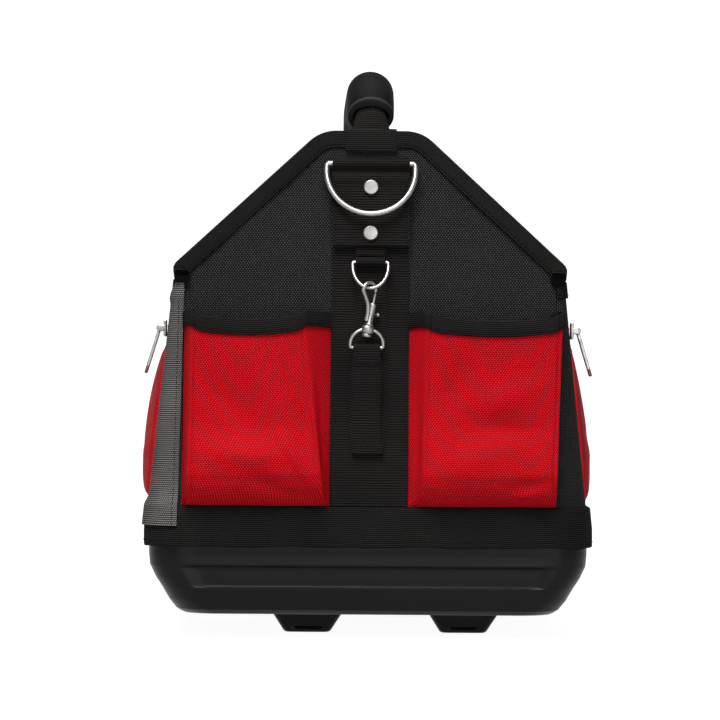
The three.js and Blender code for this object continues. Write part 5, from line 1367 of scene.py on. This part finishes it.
def pocket_line(pocket, share):
    """Cross-section of a pocket at a share of its height: rows of (x, out, share across the face)."""
    depth = GAP + max(POCKET_DEPTH * np.interp(share, *POCKET_DEPTHS.T), POCKET_SHEET)
    seam, outer, inner = [
        WEB_EDGE + POCKET_SPAN * lerp(pair[0], pair[1], share)
        for pair in (pocket["seam"], pocket["outer"], pocket["inner"])
    ]
    corners = [np.array(c, float) for c in ((WEB_EDGE, GAP), (inner, depth), (outer, depth), (seam, GAP))]
    counts = [SIDE_COLUMNS, FACE_COLUMNS, SIDE_COLUMNS]
    line, start = [], corners[0]
    for k in (1, 2):
        corner = corners[k]
        before, after = corners[k - 1] - corner, corners[k + 1] - corner
        near = min(1.8, 0.4 * np.linalg.norm(before))
        far = min(1.8, 0.4 * np.linalg.norm(after))
        a = corner + before / np.linalg.norm(before) * near
        b = corner + after / np.linalg.norm(after) * far
        line += [lerp(start, a, t) for t in np.linspace(0, 1, counts[k - 1], endpoint=False)]
        line += rounded_turn(a, corner, b, np.linspace(0, 1, TURN_COLUMNS, endpoint=False))
        start = b
    line += [lerp(start, corners[3], t) for t in np.linspace(0, 1, counts[2])]
    line = np.array(line)
    across = np.clip((line[:, 0] - inner) / (outer - inner), 0, 1)
    on_face = np.zeros(len(line))
    first = SIDE_COLUMNS + TURN_COLUMNS
    on_face[first:first + FACE_COLUMNS] = 1
    body = np.sin(math.pi * across) * on_face
    line[:, 1] += body * 1.6 * min(1, depth / POCKET_DEPTH * 1.3)
    hold = float(smooth_step(0, 0.06, share) * (1 - 0.6 * smooth_step(0.88, 1, share)))
    line[:, 1] += on_face * hold * np.sqrt(np.clip(body, 0, 1)) * fold_height(pocket["folds"], across, share)
    crease = bump(across, 0.028, 0.013) + bump(across, 0.972, 0.013)
    line[:, 1] -= 0.9 * crease * on_face
    tuck = bump(np.arange(len(line)), SIDE_COLUMNS * 0.55, SIDE_COLUMNS * 0.3)
    line[:, 0] += 1.4 * tuck * math.sin(math.pi * min(share * 1.3, 1))
    return line, across, on_face


def line_normals(line):
    along = np.gradient(line, axis=0)
    along /= np.linalg.norm(along, axis=1, keepdims=True)
    return np.stack([-along[:, 1], along[:, 0]], axis=1)


def mouth_height(across, on_face):
    """Height of the pocket's mouth: highest on the gussets, lower over the face and lowest in its middle."""
    fall = 3.2 + 3.2 * np.sin(math.pi * across)
    eased = np.convolve(np.pad(on_face, 5, mode="edge"), np.ones(11) / 11, mode="valid")
    return FACE_BOTTOM + POCKET_HEIGHT - fall * eased


def make_pocket(end_name, end, label, pocket):
    hand = pocket["side"] * end
    rows = np.concatenate([np.linspace(0, 0.16, 16), np.linspace(0.18, 1, 46)])
    front, back = [], []
    for share in rows:
        line, across, on_face = pocket_line(pocket, share)
        normals = line_normals(line)
        mouth = mouth_height(across, on_face)
        h = lerp(FACE_BOTTOM, mouth, share)
        inner = line - normals * POCKET_SHEET
        inner[:, 1] = np.maximum(inner[:, 1], GAP)
        front.append(face_points(hand * line[:, 0], h, np.maximum(line[:, 1], GAP), end))
        back.append(face_points(hand * inner[:, 0], h, inner[:, 1], end))
    name = f"{end_name}_{label}"
    piece = sheet_piece(f"{name}_pouch", np.array(front), np.array(back), RED_CLOTH, sharp_angle=60)
    settle(piece, f"{name}_pocket")
    make_pocket_binding(name, end, hand, pocket)


def make_pocket_binding(name, end, hand, pocket):
    """Binding folded over the pocket's mouth, from the webbing round both folds to the seam."""
    clear = GAP + WEBBING + GAP
    line, across, on_face = pocket_line(pocket, 1)
    below, _, _ = pocket_line(pocket, 1 - POCKET_BINDING_HEIGHT / POCKET_HEIGHT)
    normals = line_normals(line)
    mouth = mouth_height(across, on_face)
    out = POCKET_PLY + GAP
    outline = folded_outline(POCKET_SHEET, out, -POCKET_BINDING_HEIGHT, POCKET_PLY, GAP, 0.45, 1.2)
    rings = []
    for k in range(len(line)):
        drop = np.clip(-outline[:, 1] / POCKET_BINDING_HEIGHT, 0, 1)[:, None]
        middle = lerp(line[k], below[k], drop)
        flat = middle + normals[k] * outline[:, :1]
        standing = np.maximum(flat[:, 1], clear)
        rings.append(face_points(hand * flat[:, 0], mouth[k] + outline[:, 1], standing, end))
    piece = loft_piece(f"{name}_mouth_binding", rings, BINDING, turned=True, sharp_angle=50)
    settle(piece, f"{name}_pocket_binding")
    seam = lerp(line, below, 0.78) + normals * out
    seam[:, 1] = np.maximum(seam[:, 1], clear)
    h = mouth - POCKET_BINDING_HEIGHT * 0.78
    points = face_points(hand * seam[:, 0], h, seam[:, 1], end)
    beyond = face_points(hand * (seam + normals)[:, 0], h, (seam + normals)[:, 1], end)
    settle(stitches(f"{name}_mouth_stitches", [(points[4:-4], (beyond - points)[4:-4])], BLACK_THREAD))


# Side pockets and zips

SIDE_POCKET_HALF = 143
SIDE_POCKET_TOP_Z = BAND_TOP_Z + GAP + 104.7
# Mean swelling of a side pocket, how low it sits as a power, and the flat border as a share.
PUFF = 11
PUFF_LOW = 0.62
SEWN_BORDER = 0.06
ZIP_HEIGHT = 17.7
ZIP_FOOT_Z = SIDE_POCKET_TOP_Z + GAP
ZIP_MIDDLE_Z = ZIP_FOOT_Z + ZIP_HEIGHT / 2
ZIP_TAPE = 1.2
TOOTH_PITCH = 2
SLIDER_Y = -(SIDE_POCKET_HALF - 5 - 4.5)
PULL_BAR_OUT = 2.2 + 3.4 - 0.9
PULL_TILT = math.radians(17)


def make_side_pocket(name, side):
    """Pouch that swells from its sewn border, with slack folds near its lower corners."""
    run = np.linspace(-1, 1, 81)
    rise = np.linspace(0, 1, 41)
    a, b = np.meshgrid(run, rise, indexing="ij")
    z = lerp(BAND_TOP_Z + GAP, SIDE_POCKET_TOP_Z, b)
    y = a * SIDE_POCKET_HALF
    border = np.clip(np.minimum(1 - np.abs(a), np.minimum(b, 1 - b)) / SEWN_BORDER, 0, 1)
    puff = np.sqrt(np.clip(np.sin(math.pi * b ** PUFF_LOW) * np.cos(math.pi / 2 * a), 0, 1))
    folds = (
        0.9 * bump(b, 0.24 + 0.1 * np.abs(a), 0.05) * smooth_step(0.3, 0.8, np.abs(a))
        - 0.7 * bump(b, 0.34 + 0.12 * np.abs(a), 0.05) * smooth_step(0.25, 0.8, np.abs(a))
        + 0.5 * np.sin(7 * a + 4 * b) * np.sin(math.pi * b) * np.cos(math.pi / 2 * a)
    )
    out = GAP + POCKET_SHEET + (PUFF + folds) * puff * smooth_step(0, 1, border)
    front = side_points(y, z, out, side)
    back = side_points(y, z, np.maximum(out - POCKET_SHEET, GAP), side)
    pouch = settle(sheet_piece(f"{name}_side_pouch", front, back, RED_CLOTH), f"{name}_side_pocket")
    rows = []
    for share in (-1, 1):
        heights = np.linspace(BAND_TOP_Z + 3, SIDE_POCKET_TOP_Z - 2, 30)
        line = side_points(share * (SIDE_POCKET_HALF - 2.2), heights, GAP + POCKET_SHEET + 0.45, side)
        rows.append((line, np.tile([side, 0, 0], (30, 1))))
    settle(stitches(f"{name}_side_pouch_stitches", rows, RED_THREAD, radius=0.24))


def make_zip(name, side):
    """Zip tape with two rows of teeth, closed along its whole length."""
    y = np.linspace(-SIDE_POCKET_HALF, SIDE_POCKET_HALF, 60)
    half = ZIP_HEIGHT / 2
    section = rounded_section([
        (0, -half), (ZIP_TAPE, -half), (ZIP_TAPE, -2.4), (ZIP_TAPE + 0.5, -2.1), (ZIP_TAPE + 0.5, 2.1),
        (ZIP_TAPE, 2.4), (ZIP_TAPE, half), (0, half)], [0.2, 0.3, 0.2, 0.3, 0.3, 0.2, 0.3, 0.2], 2)
    rings = [side_points(p, ZIP_MIDDLE_Z + section[:, 1], GAP + section[:, 0], side) for p in y]
    settle(loft_piece(f"{name}_zip_tape", rings, BINDING, turned=True), f"{name}_zip")
    teeth = []
    count = int(2 * (SIDE_POCKET_HALF - 4) / TOOTH_PITCH)
    for k in range(count):
        place = -SIDE_POCKET_HALF + 4 + TOOTH_PITCH * (k + 0.5)
        if abs(place - SLIDER_Y) < 5:
            continue
        hand = 1 if k % 2 else -1
        low = (-0.6, -0.75, min(hand * 2.4, -hand * 0.9))
        high = (0.75, 0.75, max(hand * 2.4, -hand * 0.9))
        base = side_points(place, ZIP_MIDDLE_Z, GAP + ZIP_TAPE + 0.6, side)
        block = rounded_block(low, high, 0.25, steps=1)
        turn = Matrix.Rotation(0 if side > 0 else math.pi, 4, "Z")
        teeth.append(moved(block, Matrix.Translation(base) @ turn))
    settle(add_mesh(f"{name}_zip_teeth", *joined(teeth), ZIP_METAL, 60))
    rows = []
    for hand in (-1, 1):
        line = side_points(y, ZIP_MIDDLE_Z + hand * (half - 1.8), GAP + ZIP_TAPE, side)
        rows.append((line, np.tile([side, 0, 0], (len(y), 1))))
    settle(stitches(f"{name}_zip_stitches", rows, BLACK_THREAD, radius=0.22))


def slider_matrix(side):
    base = side_points(SLIDER_Y, ZIP_MIDDLE_Z, GAP + ZIP_TAPE + 1.3 + GAP, side)
    return Matrix.Translation(base) @ Matrix.Rotation(0 if side > 0 else math.pi, 4, "Z")


def make_slider(name, side):
    body = rounded_block((0, -4.5, -5.5), (2.2, 4.5, 5.5), 0.7, corner=0.9)
    waist = rounded_block((0.1, -3.2, -2.2), (2.9, 3.2, 2.2), 0.6)
    ears = [rounded_block((1.1, y, -2), (5.6, y + 1.2, 2), 0.45) for y in (-4.5, 3.3)]
    bar_path = [(PULL_BAR_OUT, y, 0) for y in np.linspace(-4, 4, 6)]
    bar = lofted(tube_rings(bar_path, 0.9, 16))
    part = joined([body, waist, *ears, bar])
    piece = add_mesh(f"{name}_slider", *moved(part, slider_matrix(side)), ZIP_METAL, 45)
    settle(piece, f"{name}_zip_slider")


def make_pull(name, side):
    """Pull plate with an eye round the slider's bar, a long window and a moulded tip."""
    hinge = Matrix.Translation((PULL_BAR_OUT, 0, 0)) @ Matrix.Rotation(-PULL_TILT, 4, "Y")
    matrix = slider_matrix(side) @ hinge
    eye_profile = [(1.2, -3), (1.95, -3), (2.3, -2.6), (2.3, 2.6), (1.95, 3), (1.2, 3)]
    eye = moved(lofted(lathe_rings(eye_profile, 28), looped=True), Matrix.Rotation(math.pi / 2, 4, "X"))
    frame_outline = rounded_section(
        [(-3, -2), (-3, -5.4), (-3.7, -9.4), (-3.3, -26.5), (3.3, -26.5), (3.7, -9.4), (3, -5.4), (3, -2)],
        [0.3, 1, 1.5, 0.3, 0.3, 1.5, 1, 0.3], 4)
    window = rounded_section([(-1.7, -13), (-1.7, -24), (1.7, -24), (1.7, -13)], [1, 1, 1, 1], 4)
    outer = resampled(np.concatenate([frame_outline, frame_outline[:1]]), 73)[:-1]
    inner = resampled(np.concatenate([window, window[:1]]), 73)[:-1]
    start = int(np.argmin(np.linalg.norm(inner - outer[0] * 0.6, axis=1)))
    inner = np.roll(inner, -start, axis=0)
    rings = []
    for line, x in ((outer, -0.75), (outer, 0.75), (outer * [0.94, 0.995], 1.05), (inner * [1.1, 1], 1.05),
                    (inner, 0.75), (inner, -0.75), (inner * [1.1, 1], -1.05), (outer * [0.94, 0.995], -1.05)):
        rings.append([(x, y, z) for y, z in line])
    plate = lofted(np.array(rings), looped=True)
    metal = add_mesh(f"{name}_pull_plate", *moved(joined([eye, plate]), matrix), ZIP_METAL, 50)
    settle(metal, f"{name}_zip_pull", body=f"{name}_pull")
    tip = rounded_block((-1.05, -3.6, -31), (1.05, 3.6, -25.6), 0.7, corner=0.9)
    settle(add_mesh(f"{name}_pull_tip", *moved(tip, matrix), PULL_TIP, 50), body=f"{name}_pull")


# Handle

BEND_RADIUS = 60
LEG_LENGTH = 52
GRIP_FROM = 0.5
LEG_HALF_WIDTH, LEG_HALF_THICKNESS, LEG_POWER = 14.7, 3, 2.8
TUBE_HALF_WIDTH, TUBE_HALF_THICKNESS, TUBE_POWER = 9.8, 8, 2
GRIP_BORE = (11.6, 8.6)
GRIP_CORE = 12.7
GRIP_PLY = 2.5
GRIP_SWELL = 0.35
RIM_RADIUS = 15.1
RIM_BORE = 11.7


def handle_line(legs=24, bends=20, bar=24):
    """Places along the handle from the front leg over the bar to the back leg."""
    base = np.array(face_points(0, 0, LEG_OUT, FRONT))
    up = np.array([0, math.sin(END_LEAN), math.cos(END_LEAN)])
    inward = np.array([0, math.cos(END_LEAN), -math.sin(END_LEAN)])
    bend_z = HANDLE_Z - BEND_RADIUS * (1 - math.sin(END_LEAN))
    bend_h = (bend_z - base[2]) / math.cos(END_LEAN)
    rows = []
    for t in np.linspace(0, 1, legs, endpoint=False):
        rows.append((base + up * (bend_h - LEG_LENGTH * (1 - t)), up, 0.0))
    centre = base + up * bend_h + inward * BEND_RADIUS
    sweep = math.pi / 2 - END_LEAN
    for t in np.linspace(0, 1, bends):
        angle = sweep * t
        place = centre - inward * BEND_RADIUS * math.cos(angle) + up * BEND_RADIUS * math.sin(angle)
        rows.append((place, up * math.cos(angle) + inward * math.sin(angle), t))
    half = bar // 2
    for t in np.linspace(0, 1, half + 1)[1:-1]:
        rows.append((rows[legs + bends - 1][0] * [1, 1 - t, 1], np.array([0, 1.0, 0]), 1.0))
    mirrored = [(p * [1, -1, 1], d * [1, 1, -1], t) for p, d, t in rows[::-1]]
    return rows + mirrored


def handle_ring(place, along, half_width, half_thickness, sides, power=2.0):
    across = np.array([0, -along[2], along[1]])
    angles = np.linspace(0, 2 * math.pi, sides, endpoint=False)
    c, s = np.cos(angles), np.sin(angles)
    blunt = 2 / power
    x = np.sign(c) * np.abs(c) ** blunt * half_width
    t = np.sign(s) * np.abs(s) ** blunt * half_thickness
    return place + np.outer(x, [1, 0, 0]) + np.outer(t, across)


def make_handle():
    rows = handle_line()
    rings = []
    for place, along, bend in rows:
        round_share = min(1, bend / GRIP_FROM) ** 2
        half_width = lerp(LEG_HALF_WIDTH, TUBE_HALF_WIDTH, round_share)
        half_thickness = lerp(LEG_HALF_THICKNESS, TUBE_HALF_THICKNESS, round_share)
        power = lerp(LEG_POWER, TUBE_POWER, round_share)
        rings.append(handle_ring(place, along, half_width, half_thickness, 32, power))
    settle(loft_piece("handle_wrap", rings, WEB_BLACK, sharp_angle=60), "handle_tube")
    gripped = [row for row in handle_line(24, 31, 40) if row[2] >= GRIP_FROM]
    count = len(gripped)
    outer, inner = [], []
    for k, (place, along, _) in enumerate(gripped):
        edge = min(k, count - 1 - k)
        lip = [0.75, 0.95, 1.0][min(edge, 2)]
        radius = GRIP_CORE + GRIP_PLY * lip + GRIP_SWELL * math.sin(math.pi * k / (count - 1)) ** 0.5
        outer.append(handle_ring(place, along, radius, radius, 40))
        inner.append(handle_ring(place, along, *GRIP_BORE, 40))
    sleeve = loft_piece("grip_sleeve", outer + inner[::-1], RUBBER, looped=True, sharp_angle=60)
    settle(sleeve, "handle_grip")
    rims = []
    for place, along, outward in ((*gripped[0][:2], -1), (*gripped[-1][:2], 1)):
        corners = [(RIM_RADIUS, -1.6), (RIM_RADIUS, 0.7), (RIM_BORE, 0.7), (RIM_BORE, -1.6)]
        section = rounded_section(corners, [0.3, 0.9, 0.5, 0.2], 3)
        rings = []
        for radius, step in section:
            low_radius = radius - (RIM_RADIUS - radius) * 0.88
            rings.append(handle_ring(place + along * outward * step, along, radius, low_radius, 40))
        rims.append(lofted(rings, looped=True))
    # The rims take the lighter copy of the grip rubber: painted light.
    settle(add_mesh("grip_sleeve_rims", *joined(rims), LIT_RIM_RUBBER, 60))


# The whole object

def build():
    make_tray()
    make_feet()
    make_latch()
    make_band()
    make_walls()
    make_corner_webbings()
    for name, end in ENDS.items():
        make_panel(name, end)
        make_panel_binding(name, end)
        make_top_tab(name, end)
        make_center_webbing(name, end)
        make_patch(name, end)
        make_d_ring(name, end)
        make_rivets(name, end)
        for label, pocket in POCKETS.items():
            make_pocket(name, end, label, dict(pocket, folds=POCKET_FOLDS[label]))
    make_small_ring()
    make_tape_strap(make_snap())
    for name, side in SIDES.items():
        make_side_pocket(name, side)
        make_zip(name, side)
        make_slider(name, side)
        make_pull(name, side)
    make_handle()


# Camera, light and ground

CAMERA_DISTANCE = 2.6
CAMERA_X = -0.04
CAMERA_HEIGHT = 0.195
FRAME_WIDTH = 0.463
AIM = Vector((-0.0064, -BODY_HALF_LENGTH * MM, 0.1803))
ROLL = math.radians(0.45)
SENSOR = 36
LIT_PLACE = Vector((0, 0, 0.18))


def make_camera():
    data = bpy.data.cameras.new("camera")
    camera = bpy.data.objects.new("camera", data)
    bpy.context.scene.collection.objects.link(camera)
    camera.location = (CAMERA_X, AIM.y - CAMERA_DISTANCE, CAMERA_HEIGHT)
    view = (AIM - camera.location).to_track_quat("-Z", "Y").to_matrix().to_4x4()
    camera.matrix_world = Matrix.Translation(camera.location) @ view @ Matrix.Rotation(ROLL, 4, "Z")
    data.sensor_width = SENSOR
    data.lens = SENSOR * (AIM - camera.location).length / FRAME_WIDTH
    data.clip_start = 0.05
    bpy.context.scene.camera = camera


def area_light(name, place, size, power):
    """A square light that is turned to the middle of the tote."""
    data = bpy.data.lights.new(name, "AREA")
    data.shape = "SQUARE"
    data.size = size
    data.energy = power
    light = bpy.data.objects.new(name, data)
    light.location = place
    light.rotation_euler = (LIT_PLACE - Vector(place)).to_track_quat("-Z", "Y").to_euler()
    bpy.context.scene.collection.objects.link(light)


FLOOR_SIZE = 3.2
FLOOR_GREY = 0.2
FLOOR_GLOW = 0.95
WORLD_ABOVE = 0.15
WORLD_LEVEL = 1.15
# Heights of a unit direction between which the white fades.
FADE_FROM, FADE_TO = 0.12, 0.3
WHITE = (1, 1, 1, 1)


def make_world():
    """White all round at eye level and below, fading to a dim sky."""
    world = bpy.data.worlds.new("studio")
    world.use_nodes = True
    tree = world.node_tree
    place = tree.nodes.new("ShaderNodeTexCoord")
    split = tree.nodes.new("ShaderNodeSeparateXYZ")
    tree.links.new(place.outputs["Generated"], split.inputs[0])
    fade = tree.nodes.new("ShaderNodeMapRange")
    for socket, given in zip(fade.inputs[1:5], (FADE_FROM, FADE_TO, WORLD_LEVEL, WORLD_ABOVE)):
        socket.default_value = given
    tree.links.new(split.outputs[2], fade.inputs[0])
    background = tree.nodes["Background"]
    background.inputs[0].default_value = WHITE
    tree.links.new(fade.outputs[0], background.inputs[1])
    bpy.context.scene.world = world


def make_floor():
    bpy.ops.mesh.primitive_plane_add(size=FLOOR_SIZE, location=(0, 0, 0))
    floor = bpy.context.object
    floor.name = "floor"
    s = Shader("pale_floor", Roughness=0.9, Specular_IOR_Level=0.0, Emission_Strength=FLOOR_GLOW)
    s.surface.inputs["Emission Color"].default_value = WHITE
    s.colour((*grey(FLOOR_GREY), 1))
    floor.data.materials.append(s.material)


def make_studio():
    make_world()
    make_floor()
    bpy.context.scene.view_settings.view_transform = "Standard"
    area_light("key", (-0.3, -1.15, 1.9), 1.0, 135)
    area_light("fill", (0.4, -2.4, 0.4), 1.2, 22)
    area_light("top", (0, 0.5, 2.2), 2.0, 30)


make_camera()
build()
make_studio()
